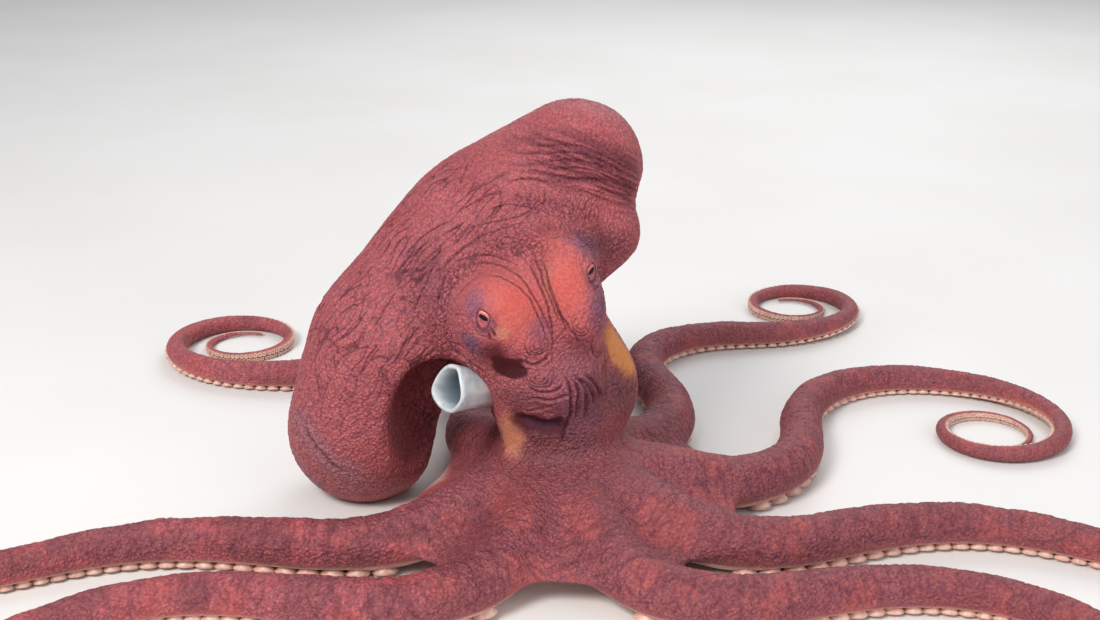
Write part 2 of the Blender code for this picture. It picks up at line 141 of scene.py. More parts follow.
# Folds of the face, drawn on a plane that leans back by the view's elevation: across, up.
# Each set has its own depth, half width and darkness of the painted shade in it.
FOLDS = {
    "between the eyes": (0.050, 0.038, 0.9, [
        [(-0.72, 9.75), (-0.50, 9.04), (-0.25, 8.28), (0.21, 7.23), (0.45, 6.76)],
        [(-0.40, 9.45), (-0.20, 8.75), (0.10, 7.87), (0.45, 6.99), (0.62, 6.29)],
        [(-0.78, 9.40), (-0.66, 8.75), (-0.37, 8.17), (-0.02, 7.23), (0.12, 6.41), (0.10, 5.47)],
        [(-0.14, 8.75), (-0.02, 8.05), (0.33, 7.23), (0.86, 6.47), (1.04, 6.17), (1.39, 6.41)],
    ]),
    "round the right bulge": (0.040, 0.036, 0.9, [
        [(-2.83, 8.58), (-1.90, 8.58), (-1.19, 8.22), (-0.72, 7.76), (-0.43, 7.17), (-0.14, 6.52),
         (-0.02, 5.82)],
        [(-3.48, 8.81), (-2.77, 9.04), (-1.90, 8.99), (-1.19, 8.64), (-0.72, 8.05), (-0.02, 6.76),
         (0.12, 6.06)],
        [(-3.89, 8.58), (-3.48, 9.10), (-2.90, 9.31), (-2.19, 9.34), (-1.43, 9.10), (-0.96, 8.75)],
        [(-4.10, 7.40), (-4.00, 8.20), (-3.72, 8.75)],
        [(-3.75, 7.10), (-3.66, 7.95), (-3.35, 8.55)],
    ]),
    "muzzle": (0.075, 0.052, 0.9, [
        [(-1.19, 5.65), (-0.90, 5.44), (-0.49, 5.41), (-0.14, 5.59), (-0.05, 5.88)],
        [(-0.92, 4.85), (-0.72, 4.58), (-0.38, 4.41), (0.02, 4.39), (0.39, 4.56), (0.51, 4.94)],
        [(-0.96, 4.06), (-0.49, 4.15), (-0.02, 4.06), (0.45, 4.18), (0.80, 4.30)],
    ]),
    "chin": (0.035, 0.045, 0.55, [
        [(-1.19, 3.75), (-0.72, 3.66), (-0.14, 3.80), (0.39, 3.90)],
    ]),
    "neck": (0.085, 0.062, 0.85, [
        [(0.46, 5.27), (0.73, 4.57), (0.73, 3.71), (0.50, 2.83), (0.38, 2.31)],
        [(0.61, 5.12), (1.02, 4.53), (0.97, 3.83), (0.85, 3.13)],
        [(0.73, 5.18), (1.26, 4.53), (1.32, 3.71), (1.20, 3.13)],
        [(0.91, 5.06), (1.49, 4.41), (1.67, 3.83)],
        [(1.20, 5.12), (1.73, 4.53), (1.90, 3.94)],
    ]),
    "below the mouth": (0.030, 0.045, 0.5, [
        [(-0.62, 2.28), (-0.44, 2.58)],
        [(-0.45, 2.28), (-0.27, 2.58)],
        [(-0.28, 2.27), (-0.10, 2.56)],
        [(-0.11, 2.26), (0.07, 2.54)],
    ]),
    "over the funnel": (0.060, 0.045, 0.9, [
        [(-3.95, 5.77), (-3.36, 5.47), (-2.90, 5.07)],
        [(-3.89, 5.92), (-3.30, 5.67), (-2.72, 5.24), (-2.31, 4.89)],
        [(-3.65, 6.17), (-3.07, 5.88), (-2.54, 5.42)],
    ]),
    "below the eyes": (0.066, 0.044, 1.0, [
        [(-2.22, 6.79), (-2.15, 6.50), (-2.06, 6.21)],
        [(-2.10, 6.87), (-2.00, 6.60), (-1.88, 6.32)],
        [(-2.42, 7.40), (-2.06, 7.12), (-1.95, 6.92), (-1.80, 6.72)],
        [(1.56, 8.39), (1.65, 8.23), (1.76, 8.10)],
        [(1.50, 8.36), (1.58, 8.21), (1.67, 8.01)],
    ]),
    "beside the right eye": (0.040, 0.034, 0.7, [
        [(-2.90, 7.20), (-2.70, 7.15), (-2.56, 7.16)],
    ]),
    "overhang": (0.190, 0.160, 1.0, [
        [(-1.30, 3.44), (-0.85, 3.26), (-0.35, 3.12), (0.15, 3.16), (0.50, 3.38)],
    ]),
    "edge of the cheek": (0.090, 0.110, 0.5, [
        [(1.98, 7.55), (2.06, 6.60), (2.10, 5.70), (2.02, 4.70)],
    ]),
    "end of the mantle": (0.055, 0.038, 1.0, [
        [(-1.20, 13.59), (-0.22, 13.50), (0.91, 13.47), (1.82, 13.21), (2.65, 12.83), (3.05, 12.30)],
        [(-1.10, 13.30), (-0.10, 13.22), (1.00, 13.18), (1.90, 12.96), (2.70, 12.55), (3.08, 12.10)],
        [(-1.13, 12.99), (-0.37, 12.87), (0.38, 12.91), (1.14, 12.87), (1.97, 12.68), (2.80, 12.15)],
        [(-0.60, 12.70), (0.30, 12.60), (1.10, 12.60), (1.90, 12.42), (2.75, 12.00)],
        [(-0.52, 12.45), (0.23, 12.30), (0.91, 12.23), (1.67, 12.15), (2.43, 11.96)],
        [(-1.81, 12.08), (-1.28, 12.19), (-0.82, 12.23), (-0.22, 12.12), (0.38, 11.93)],
    ]),
    "creases of the mantle": (0.058, 0.036, 1.0, [
        [(-4.00, 9.43), (-3.39, 9.89), (-3.17, 10.26), (-2.64, 10.49), (-1.28, 10.75), (-0.60, 11.06),
         (0.08, 11.13)],
        [(-4.45, 8.30), (-4.15, 8.83), (-3.24, 9.58), (-2.56, 10.04), (-2.03, 10.26), (-1.28, 10.49),
         (-0.52, 10.57)],
        [(-4.53, 7.39), (-4.07, 7.84), (-3.77, 8.68), (-3.39, 8.98), (-2.94, 9.05)],
        [(-2.49, 11.02), (-2.03, 11.13), (-1.50, 11.25), (-0.97, 11.17), (-0.30, 10.94)],
        [(-5.81, 7.92), (-5.51, 8.68), (-4.91, 9.58), (-4.45, 9.96)],
        [(-5.10, 6.90), (-4.95, 7.60), (-4.60, 8.30), (-4.45, 8.75), (-3.90, 9.55)],
        [(-5.60, 9.10), (-5.00, 9.90), (-4.20, 10.45), (-3.40, 10.80)],
        [(-3.10, 11.70), (-2.40, 12.00), (-1.90, 12.35), (-1.30, 12.60)],
        [(-3.60, 11.00), (-2.90, 11.30), (-2.20, 11.62), (-1.40, 11.75)],
        [(-6.60, 6.60), (-6.20, 7.40), (-5.70, 8.10)],
        [(-5.90, 5.20), (-5.50, 5.90), (-5.20, 6.60)],
        [(-7.20, 4.60), (-6.80, 5.60), (-6.30, 6.20)],
    ]),
    "lobe of the mantle": (0.170, 0.120, 0.8, [
        [(3.40, 11.72), (2.90, 11.98), (2.10, 12.16), (1.30, 12.22)],
    ]),
    "rim of the mantle": (0.110, 0.080, 0.8, [
        [(-9.60, 3.10), (-9.20, 2.35), (-8.50, 1.55), (-7.60, 0.95)],
    ]),
}
# Papillae ringed by folds: across, up, width to height, radii of the rings.
PAPILLAE = [
    (-0.46, 6.09, 1.0, (0.13, 0.26, 0.40)),
    (-0.34, 4.91, 1.3, (0.15, 0.29, 0.44)),
    (1.06, 6.76, 0.9, (0.13, 0.26, 0.40)),
    (1.66, 6.00, 0.6, (0.14, 0.27)),
    (-0.69, 11.50, 1.2, (0.15, 0.32, 0.50)),
    (-1.56, 9.80, 1.2, (0.15, 0.32)),
    (0.10, 10.25, 1.2, (0.15, 0.30, 0.46)),
    (-2.60, 10.30, 0.8, (0.14, 0.30)),
]
# Calm skin, as over the eye bulges, the papillae, the dark patch, the lower face and the mantle's
# end: how calm, then across, up, half width, half height, lean in degrees.
CALM_SKIN = [
    (0.82, -1.45, 7.20, 1.75, 1.75, 0),
    (0.82, 0.75, 8.20, 0.95, 1.75, 12),
    (0.90, -1.60, 5.45, 0.85, 0.55, -20),
    (0.90, -1.45, 2.75, 0.50, 0.75, 12),
    (0.90, 2.85, 6.20, 0.80, 1.40, 12),
    (0.80, 1.65, 14.30, 1.70, 0.85, -20),
    (0.60, 2.45, 11.00, 0.75, 0.75, 0),
    (0.60, -0.20, 4.10, 2.30, 1.70, 0),
    (0.60, 0.30, 2.40, 2.30, 0.90, 0),
    (0.75, 1.15, 4.10, 0.80, 1.30, 0),
    (0.65, 1.00, 5.75, 1.10, 1.00, 0),
    (0.70, -0.46, 6.09, 0.60, 0.60, 0),
    (0.75, 1.06, 6.60, 0.60, 0.75, 0),
    (0.70, -0.34, 4.91, 0.75, 0.60, 0),
]
# Pressed skin, rough skin, the hollow under the overhang, which is darkened as painted shade, and
# painted shade on the pressed skin, in the same way but without how calm; the last one ends with its
# softness.
PRESSED_SKIN = (1.35, 12.75, 2.9, 1.15, -17)
ROUGH_SKIN = [(0.90, 10.75, 1.90, 1.05, -15), (-4.30, 7.20, 1.30, 2.60, 10), (2.45, 9.90, 0.90, 0.80, 0)]
RECESS = (-0.30, 3.02, 1.10, 0.34, 0)
PRESSED_SHADE = (1.20, 12.60, 2.20, 0.80, -17, 0.7)
# Layers of pressed wrinkles: spacing, seed, depth, darkness of their painted shade.
PRESSED_LAYERS = ((0.36, 43, 0.085, 0.85), (0.19, 44, 0.035, 0.38))
# Finer grains round each eye bulge: its middle, inner and outer reach, seed.
BULGE_BANDS = (((-1.6, -4.0, 8.9), 2.0, 4.4, 51), ((0.8, -3.6, 9.9), 2.0, 3.6, 55))
# Tints of the face: strength, then across, up, half width, half height, lean in degrees, softness.
TINTS = {
    "warm": [
        (1.00, -1.20, 7.50, 1.05, 1.15, 25, 0.9),
        (0.70, -2.10, 8.00, 0.90, 0.80, 0, 0.8),
        (1.00, 0.55, 8.30, 0.70, 1.30, 14, 0.8),
        (0.65, 0.10, 9.40, 0.70, 0.90, 10, 0.8),
    ],
    # Painted cast shadow below the right eye, and painted shade in the hollow under the muzzle.
    "shade": [
        (1.00, -1.48, 5.30, 0.74, 0.38, -22, 0.16),
        (0.90, -1.88, 5.72, 0.64, 0.40, -26, 0.70),
        (1.00, -0.78, 3.22, 0.74, 0.36, -14, 0.35),
        (1.00, 0.02, 3.08, 0.68, 0.36, 8, 0.35),
    ],
    "blue": [
        (1.00, -2.76, 6.17, 0.46, 0.28, -30, 0.7),
        (0.80, -2.62, 7.55, 0.36, 0.50, -20, 0.8),
        (0.80, 1.25, 9.75, 0.60, 0.35, -40, 0.8),
        (0.80, 1.80, 7.60, 0.36, 0.90, 0, 0.8),
        (0.50, -0.35, 6.60, 0.35, 0.50, 0, 0.8),
        (0.50, 0.90, 4.20, 0.80, 1.20, 0, 0.9),
        (0.25, -4.60, 8.30, 0.80, 1.60, 20, 0.9),
    ],
    "tan": [
        (1.00, -1.45, 2.75, 0.48, 0.80, 12, 0.4),
        (0.85, -1.74, 6.56, 0.30, 0.28, 0, 0.8),
        (0.55, -0.06, 8.10, 0.11, 0.95, 15, 0.8),
    ],
    "ochre": [(1.00, 2.85, 6.20, 0.75, 1.30, 12, 0.22)],
    # Painted shade on the lower face, neck and crown, and in a hollow beside the left eye bulge.
    "shade_and_mottle": [
        (0.80, 2.30, 9.75, 1.00, 0.65, 0, 0.7),
        (1.00, 0.30, 2.50, 2.10, 1.50, 0, 0.6),
        (0.80, -0.90, 4.00, 0.90, 0.70, 0, 0.7),
        (1.00, 1.60, 3.90, 0.75, 1.30, 0, 0.7),
        (1.00, 2.50, 4.20, 0.90, 1.10, 0, 0.6),
        (0.50, -0.34, 4.91, 0.70, 0.50, 0, 0.7),
        (0.50, 1.10, 5.60, 0.80, 0.70, 0, 0.8),
    ],
}
# Colours of the tints, in the order they are laid on.
TINT_COLOURS = {
    # Painted shade, also used for real darker mottles on the arms.
    "shade_and_mottle": (104, 52, 58),
    "rim": (152, 120, 132),
    "warm": (192, 78, 68),
    "tan": (186, 118, 88),
    "ochre": (208, 132, 58),
    "blue": (98, 68, 104),
    # Painted shadow and shade.
    "shade": (68, 26, 28),
}

# Soft lights: place and width in metres, watts, colour.
LIGHTS_AIM = (0.0, 0.0, 0.07)
LIGHTS = {
    "key": ((-0.55, -0.75, 0.95), 0.45, 14.6, (1.0, 0.98, 0.95)),
    "fill": ((0.9, -0.6, 0.45), 0.9, 4.0, (0.95, 0.97, 1.0)),
    "back": ((0.3, 1.0, 0.9), 0.9, 7.0, (1.0, 1.0, 1.0)),
    "low": ((0.25, -0.9, 0.10), 0.4, 1.0, (1.0, 0.98, 0.96)),
}
SURROUND_COLOUR = (0.90, 0.93, 1.0, 1.0)
SURROUND_STRENGTH = 0.50


def to_linear(red, green, blue):
    """Turn an 8-bit screen colour into the linear values a shader takes."""
    shares = [c / 255.0 for c in (red, green, blue)]
    return tuple(c / 12.92 if c <= 0.04045 else ((c + 0.055) / 1.055) ** 2.4 for c in shares)


def ease(t):
    """Smooth step from 0 to 1."""
    t = np.clip(t, 0.0, 1.0)
    return t * t * (3.0 - 2.0 * t)


def unit(vector):
    """Scale vectors to length one."""
    vector = np.asarray(vector, float)
    return vector / np.linalg.norm(vector, axis=-1, keepdims=True)


# ---------------------------------------------------------------- meshes

def add_object(name, mesh):
    """Link a mesh as a new object."""
    item = bpy.data.objects.new(name, mesh)
    bpy.context.scene.collection.objects.link(item)
    return item


def mesh_from(name, points, faces):
    """Make a closed mesh, facing outward, from points in centimetres and lists of corners."""
    mesh = bpy.data.meshes.new(name)
    mesh.from_pydata((np.asarray(points) * CM).tolist(), [], faces)
    bm = bmesh.new()
    bm.from_mesh(mesh)
    bmesh.ops.recalc_face_normals(bm, faces=bm.faces)
    bm.to_mesh(mesh)
    bm.free()
    return mesh


def points_of(mesh):
    """Vertex positions in centimetres."""
    flat = np.empty(len(mesh.vertices) * 3, np.float32)
    mesh.vertices.foreach_get("co", flat)
    return flat.reshape(-1, 3) / CM


def set_points(mesh, points):
    """Write vertex positions, given in centimetres."""
    mesh.vertices.foreach_set("co", (points * CM).astype(np.float32).ravel())
    mesh.update()


def normals_of(mesh):
    """Vertex normals."""
    flat = np.empty(len(mesh.vertices) * 3, np.float32)
    mesh.vertex_normals.foreach_get("vector", flat)
    return flat.reshape(-1, 3)


def edges_of(mesh):
    """Pairs of vertices joined by an edge."""
    flat = np.empty(len(mesh.edges) * 2, np.int32)
    mesh.edges.foreach_get("vertices", flat)
    return flat.reshape(-1, 2)


def set_attribute(mesh, name, values):
    """Store one number for each vertex, for the material to read."""
    attribute = mesh.attributes.new(name, "FLOAT", "POINT")
    attribute.data.foreach_set("value", np.clip(values, 0.0, 1.0).astype(np.float32))


def shade_smooth(mesh):
    """Shade every face smoothly."""
    mesh.polygons.foreach_set("use_smooth", np.ones(len(mesh.polygons), bool))


def modified_mesh(item):
    """The object's mesh with its modifiers applied."""
    bpy.context.view_layer.update()
    graph = bpy.context.evaluated_depsgraph_get()
    return bpy.data.meshes.new_from_object(item.evaluated_get(graph))


def joined(name, meshes):
    """Join meshes into one object."""
    bm = bmesh.new()
    for mesh in meshes:
        bm.from_mesh(mesh)
    result = bpy.data.meshes.new(name)
    bm.to_mesh(result)
    bm.free()
    return add_object(name, result)


def merged_mesh(item, voxel, smoothing=0):
    """Merge the object's overlapping shells into one closed mesh."""
    remesh = item.modifiers.new("Merge", "REMESH")
    remesh.mode = "VOXEL"
    remesh.voxel_size = voxel * CM
    if smoothing:
        smooth = item.modifiers.new("Soften", "SMOOTH")
        smooth.factor = 0.5
        smooth.iterations = smoothing
    mesh = modified_mesh(item)
    bpy.data.objects.remove(item, do_unlink=True)
    return mesh


def relax(points, edges, rounds, share):
    """Move each point towards the middle of its neighbours, by its own share."""
    first, second = edges[:, 0], edges[:, 1]
    total = len(points)
    count = np.bincount(first, minlength=total) + np.bincount(second, minlength=total)
    share = np.broadcast_to(share, total)[:, None]
    for _ in range(rounds):
        middle = np.empty_like(points)
        for axis in range(3):
            column = points[:, axis]
            sums = np.bincount(first, column[second], total) + np.bincount(second, column[first], total)
            middle[:, axis] = sums / count
        points = points + share * (middle - points)
    return points


def refine(mesh, chosen):
    """Halve the edges between chosen vertices."""
    bm = bmesh.new()
    bm.from_mesh(mesh)
    edges = [e for e in bm.edges if chosen[e.verts[0].index] and chosen[e.verts[1].index]]
    bmesh.ops.subdivide_edges(bm, edges=edges, cuts=1, use_grid_fill=True)
    bm.to_mesh(mesh)
    bm.free()


# ---------------------------------------------------------------- noise

def scrambled(cell, step, seed):
    """A repeatable whole number with well mixed bits for the grid cell a step away."""
    n = np.full(len(cell), seed * 2654435761 & 0xFFFFFFFF, np.uint32)
    for axis, factor in enumerate((73856093, 19349663, 83492791)):
        n ^= (cell[:, axis] + step[axis]).astype(np.uint32) * np.uint32(factor)
    n = (n ^ (n >> 13)) * np.uint32(1274126177)
    n = (n ^ (n >> 15)) * np.uint32(2246822519)
    return n ^ (n >> 16)


def share_of(number, axis):
    """One of three shares from 0 to 1 held in a scrambled number."""
    return (number >> (10 * axis) & 1023).astype(np.float32) / 1023.0


def soft_noises(points, size, seed, count=3):
    """Up to three smooth noises from 0 to 1, with lumps of about the given size."""
    place = (points / size).astype(np.float32)
    cell = np.floor(place).astype(np.int32)
    t = ease(place - cell)
    result = np.zeros((len(points), count), np.float32)
    for corner in range(8):
        step = [corner >> axis & 1 for axis in range(3)]
        weight = np.ones(len(points), np.float32)
        for axis in range(3):
            weight *= t[:, axis] if step[axis] else 1.0 - t[:, axis]
        number = scrambled(cell, step, seed)
        for axis in range(count):
            result[:, axis] += weight * share_of(number, axis)
    return result


def soft_noise(points, size, seed):
    """Smooth noise from 0 to 1."""
    return soft_noises(points, size, seed, 1)[:, 0]


def warped(points, size, reach, seed):
    """Points pushed about by smooth noise, so that lines drawn there wander."""
    return points + 2.0 * reach * (soft_noises(points, size, seed) - 0.5)


def cell_gap(points, size, seed):
    """How far each point lies inside its grain: 0 on the border, about 1 in the middle."""
    place = (points / size).astype(np.float32)
    cell = np.floor(place).astype(np.int32)
    offset = place - cell
    nearest = np.full(len(points), 9.0, np.float32)
    second = np.full(len(points), 9.0, np.float32)
    for corner in np.ndindex(3, 3, 3):
        step = [c - 1 for c in corner]
        number = scrambled(cell, step, seed)
        gap = np.zeros(len(points), np.float32)
        for axis in range(3):
            gap += (step[axis] + share_of(number, axis) - offset[:, axis]) ** 2
        second = np.minimum(second, np.maximum(nearest, gap))
        nearest = np.minimum(nearest, gap)
    return np.sqrt(second) - np.sqrt(nearest)


def run_along(points, direction, stretch):
    """Squeeze points along a direction, so that grains drawn there grow long that way."""
    direction = unit(direction)
    along = points @ direction
    return points - np.outer(along * (1.0 - 1.0 / stretch), direction)


def near(points, centre, reach):
    """1 at a centre, falling smoothly to 0 at the given reach."""
    away = np.linalg.norm(points - np.asarray(centre), axis=1)
    return ease(1.0 - away / reach)


# ---------------------------------------------------------------- arms

def arm_radius(f):
    """Radius of an arm at fraction f of its length."""
    return ARM_TIP_RADIUS + (ARM_ROOT_RADIUS - ARM_TIP_RADIUS) * (1.0 - f) ** ARM_TAPER


def arm_course(name, samples=921):
    """Everything about one arm along its length: centre, heading, radius, roll and fraction."""
    start, bends = ARMS[name]
    f = np.linspace(0.0, 1.0, samples)
    angle = np.full(samples, float(start))
    for first, last, degrees, power in bends:
        t = np.clip((f - first) / (last - first), 0.0, 1.0)
        angle += degrees * (ease(t) if power == 0 else t ** power)
    angle = np.radians(angle)
    step = ARM_LENGTH / (samples - 1)
    x, y = [np.append(0.0, np.cumsum(wave(angle[:-1])) * step) for wave in (np.cos, np.sin)]
    x += CROWN_CENTRE[0] + ARM_START * math.cos(angle[0])
    y += CROWN_CENTRE[1] + ARM_START * math.sin(angle[0])
    radius = arm_radius(f) * (1.0 - 0.3 * ease((f - 0.93) / 0.07))
    curl = np.sign(bends[-1][2]) * (1.0 if name in SUCKERS_INWARD else -1.0)
    share = ease((f - ROLL_FROM) / (ROLL_TO - ROLL_FROM))
    lift = ROOT_RISE * (1.0 - ease(f * ARM_LENGTH / ROOT_RISE_LENGTH))
    height = arm_radius(f) * (ARM_CENTRE_FLAT + (ARM_CENTRE_ROLLED - ARM_CENTRE_FLAT) * share) + lift
    centre = np.stack([x, y, height], axis=1)
    return {"f": f, "centre": centre, "angle": angle, "radius": radius, "roll": curl * ROLL * share}


def arm_frame(course):
    """Sideways and upward directions of the arm's own section, after its roll."""
    side = np.stack([-np.sin(course["angle"]), np.cos(course["angle"]), np.zeros(len(course["f"]))], axis=1)
    up = np.array([0.0, 0.0, 1.0])
    cos, sin = np.cos(course["roll"])[:, None], np.sin(course["roll"])[:, None]
    return cos * side + sin * up, cos * up - sin * side


def arm_section(turn):
    """Sideways and upward shares of the radius at an angle round the arm."""
    sine = np.sin(turn)
    below = -ARM_BOTTOM * np.abs(sine) ** 0.75
    return ARM_HALF_WIDTH * np.cos(turn), np.where(sine > 0.0, ARM_TOP * sine, below)


def arm_mesh(name, sides=28):
    """Loft one arm, flat below, with a rounded tip."""
    course = arm_course(name)
    first = int(np.searchsorted(course["f"] * ARM_LENGTH, ARM_SKIN_START))
    side, up = arm_frame(course)
    across, above = arm_section(np.linspace(0.0, 2.0 * math.pi, sides, endpoint=False))
    rings = []
    for i in range(first, len(course["f"]), 2):
        span = course["radius"][i]
        rings.append(course["centre"][i] + span * (np.outer(across, side[i]) + np.outer(above, up[i])))
    heading = np.array([math.cos(course["angle"][-1]), math.sin(course["angle"][-1]), 0.0])
    for share in (0.45, 0.8, 0.97):
        span = course["radius"][-1] * math.sqrt(1.0 - share * share)
        tip = course["centre"][-1] + course["radius"][-1] * share * heading
        rings.append(tip + span * (np.outer(across, side[-1]) + np.outer(above, up[-1])))
    points = np.concatenate(rings)
    return mesh_from(name, points, tube_faces(len(rings), sides))


def tube_faces(rings, sides, first=0):
    """Faces of a tube of rings laid one after the other, closed at both ends."""
    ring = first + np.arange(rings - 1)[:, None] * sides
    k = np.arange(sides)
    after = (k + 1) % sides
    quads = np.stack([ring + k, ring + after, ring + sides + after, ring + sides + k], axis=-1)
    last = first + (rings - 1) * sides
    return quads.reshape(-1, 4).tolist() + [(first + k).tolist(), (last + k).tolist()]


# ---------------------------------------------------------------- eyes

def eye_place(node):
    """Centre, radius and own axes (to the midline, up, out) of an eyeball."""
    low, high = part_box(node)
    radius = (high.z - low.z) / 2.0 / CM
    look, sink = EYES[node]
    out = unit(look)
    centre = np.array((low + high) / 2.0) / CM - sink * out
    across = unit(np.cross([0.0, 0.0, 1.0], out))
    up = np.cross(out, across)
    return centre, radius, np.stack([across if centre[0] < 0.0 else -across, up, out])


def seen_from_eye(points, node):
    """Points on an eye's own axes: to the midline, up, out."""
    centre, _, axes = eye_place(node)
    return (points - centre) @ axes.T


def turned(across, up, angle):
    """Plane coordinates seen from axes turned by an angle."""
    cos, sin = math.cos(angle), math.sin(angle)
    return across * cos + up * sin, up * cos - across * sin


def lid_distance(local):
    """Distance from the middle of the eye's opening, 1 on its rim."""
    across, up = local[:, 0], local[:, 1]
    oval = np.hypot(across / LID_HALF_WIDTH, up / LID_HALF_HEIGHT)
    brow = np.maximum(across * BROW_DIRECTION[0] + up * BROW_DIRECTION[1], 0.0) / BROW_DISTANCE
    return (oval ** 5 + brow ** 5) ** 0.2


def open_lids(points, node):
    """Sink the skin inside the opening and raise a soft lid round it."""
    centre, radius, axes = eye_place(node)
    local = (points - centre) @ axes.T
    rim = lid_distance(local)
    here = (rim < 4.0) & (local[:, 2] > 0.0)
    spread = np.hypot(local[here, 0], local[here, 1])
    ball = np.sqrt(np.maximum(radius ** 2 - spread ** 2, 0.0))
    rim = rim[here]
    rise = LID_THICKNESS * (1.0 - ((LID_CREST - rim) / (LID_CREST - 1.0)) ** 2)
    rise = np.where(rim > LID_CREST, LID_THICKNESS, np.maximum(rise, -LID_SINK))
    share = 1.0 - ease((rim - LID_EDGE) / 0.75)
    shift = share * (ball + rise - local[here, 2])
    shift -= LID_FOLD_DEPTH * np.exp(-(((rim - LID_FOLD) / 0.20) ** 2))
    height = local[here, 2] + shift
    cover = ball + LID_COVER * ease((rim - 1.0) / 0.3)
    hidden = (rim > 1.0) & (spread < 0.97 * radius)
    local[here, 2] = np.where(hidden, np.maximum(height, cover), height)
    result = points.copy()
    result[here] = local[here] @ axes + centre
    return result


def build_eye(node):
    """One eyeball with a slit pupil sunk into its iris."""
    centre, radius, axes = eye_place(node)
    tilt = np.linspace(0.02, math.pi - 0.02, EYE_ROWS)
    turn = np.linspace(0.0, 2.0 * math.pi, EYE_SIDES, endpoint=False)
    x = np.outer(np.sin(tilt), np.cos(turn)).ravel()
    y = np.outer(np.sin(tilt), np.sin(turn)).ravel()
    local = radius * np.stack([x, y, np.repeat(np.cos(tilt), EYE_SIDES)], axis=1)
    along, across = turned(local[:, 0], local[:, 1], PUPIL_TILT)
    slit = (np.abs(along / PUPIL_HALF_LENGTH) ** 2.6 + np.abs(across / PUPIL_HALF_HEIGHT) ** 2.2) ** 0.42
    ahead = local[:, 2] > 0.0
    pupil = (1.0 - ease((slit - 0.86) / 0.28)) * ahead
    swell = ease(1.0 - np.abs(slit - 1.5) / 0.7) * ahead
    local *= (1.0 - PUPIL_SINK * pupil + 0.003 * swell)[:, None]
    mesh = mesh_from(node + "_ball", local @ axes + centre, tube_faces(EYE_ROWS, EYE_SIDES))
    shade_smooth(mesh)
    set_attribute(mesh, "pupil", pupil)
    set_attribute(mesh, "upper", ease((across + 0.02) / 0.12))
    eye = add_object(node + "_ball", mesh)
    eye.data.materials.append(eye_material())
    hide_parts(node)
    return eye


# ---------------------------------------------------------------- skin

def body_core():
    """The mantle, head and web as one smooth form, with the eyeballs under it."""
    meshes = []
    for node in ("mantle", "head", "web", "eye_left", "eye_right"):
        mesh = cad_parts[node].data.copy()
        bm = bmesh.new()
        bm.from_mesh(mesh)
        bmesh.ops.remove_doubles(bm, verts=bm.verts, dist=0.00001)
        bm.normal_update()
        bm.to_mesh(mesh)
        bm.free()
        points = points_of(mesh)
        swell = np.full(len(points), BODY_SWELL)
        if node == "web":
            swell -= WEB_GAP_DEPTH * strongest(*[near(points, spot, WEB_GAP_REACH) for spot in WEB_GAPS])
        points += swell[:, None] * normals_of(mesh)
        if node in EYES:
            look, sink = EYES[node]
            points -= (sink + BODY_SWELL) * unit(look)
        set_points(mesh, points)
        meshes.append(mesh)
    return merged_mesh(joined("body_core", meshes), BODY_VOXEL, BODY_SMOOTHING)


def skin_base():
    """One closed mesh over the body and arms, fine enough for folds on the head."""
    meshes = [body_core()] + [arm_mesh(name) for name in ARMS]
    mesh = merged_mesh(joined("skin_base", meshes), SKIN_VOXEL)
    points = points_of(mesh)
    crown = np.array([*CROWN_CENTRE, 1.0])
    away = np.linalg.norm(points - crown, axis=1)
    share = 0.5 * np.maximum(0.35, ease((11.0 - away) / 3.0) * (points[:, 2] < 4.5))
    edges = edges_of(mesh)
    points = relax(points, edges, 3, 0.5)
    points = relax(points, edges, 24, share * (away < 12.0))
    set_points(mesh, points)
    refine(mesh, body_share(points) > 0.0)
    points = points_of(mesh)
    refine(mesh, face_share(points, normals_of(mesh)))
    for node in EYES:
        local = seen_from_eye(points_of(mesh), node)
        refine(mesh, (lid_distance(local) < 2.4) & (local[:, 2] > 0.0))
    set_points(mesh, relax(points_of(mesh), edges_of(mesh), 3, 0.5))
    return mesh


def body_share(points):
    """1 on the head and mantle, 0 on the arms and web."""
    height = ease((points[:, 2] - BODY_HEIGHT) / 1.2)
    sag = near(points, SAG_CENTRE, SAG_REACH) * (points[:, 0] < -3.5)
    return np.maximum(height, ease(4.0 * sag))


def face_share(points, normals):
    """Whether each point is on the front of the head, where the folds are finest."""
    height = (points[:, 2] > 3.0) & (points[:, 2] < 12.2)
    width = (points[:, 0] > -4.2) & (points[:, 0] < 2.4)
    face = height & width & (points[:, 1] < -1.6) & (normals[:, 1] < 0.15)
    pressed = patch(face_plane(points), front_share(points, normals), *PRESSED_SKIN) > 0.1
    rough = patch(face_plane(points), front_share(points, normals), *ROUGH_SKIN[0]) > 0.3
    return face | pressed | rough


def face_plane(points):
    """Across and up coordinates on the plane that the face is seen in."""
    up = points[:, 2] * math.cos(VIEW_ELEVATION) + points[:, 1] * math.sin(VIEW_ELEVATION)
    return np.stack([points[:, 0], up], axis=1)


def smooth_curve(corners, steps=8):
    """Points of a smooth curve through the given corners."""
    corners = np.asarray(corners, float)
    ends = np.concatenate([2 * corners[:1] - corners[1:2], corners, 2 * corners[-1:] - corners[-2:-1]])
    t = np.linspace(0.0, 1.0, steps, endpoint=False)[:, None]
    pieces = []
    for a, b, c, d in zip(ends, ends[1:], ends[2:], ends[3:]):
        square = (2 * a - 5 * b + 4 * c - d) * t ** 2
        cube = (3 * b - a - 3 * c + d) * t ** 3
        pieces.append(0.5 * (2 * b + (c - a) * t + square + cube))
    return np.concatenate(pieces + [corners[-1:]])


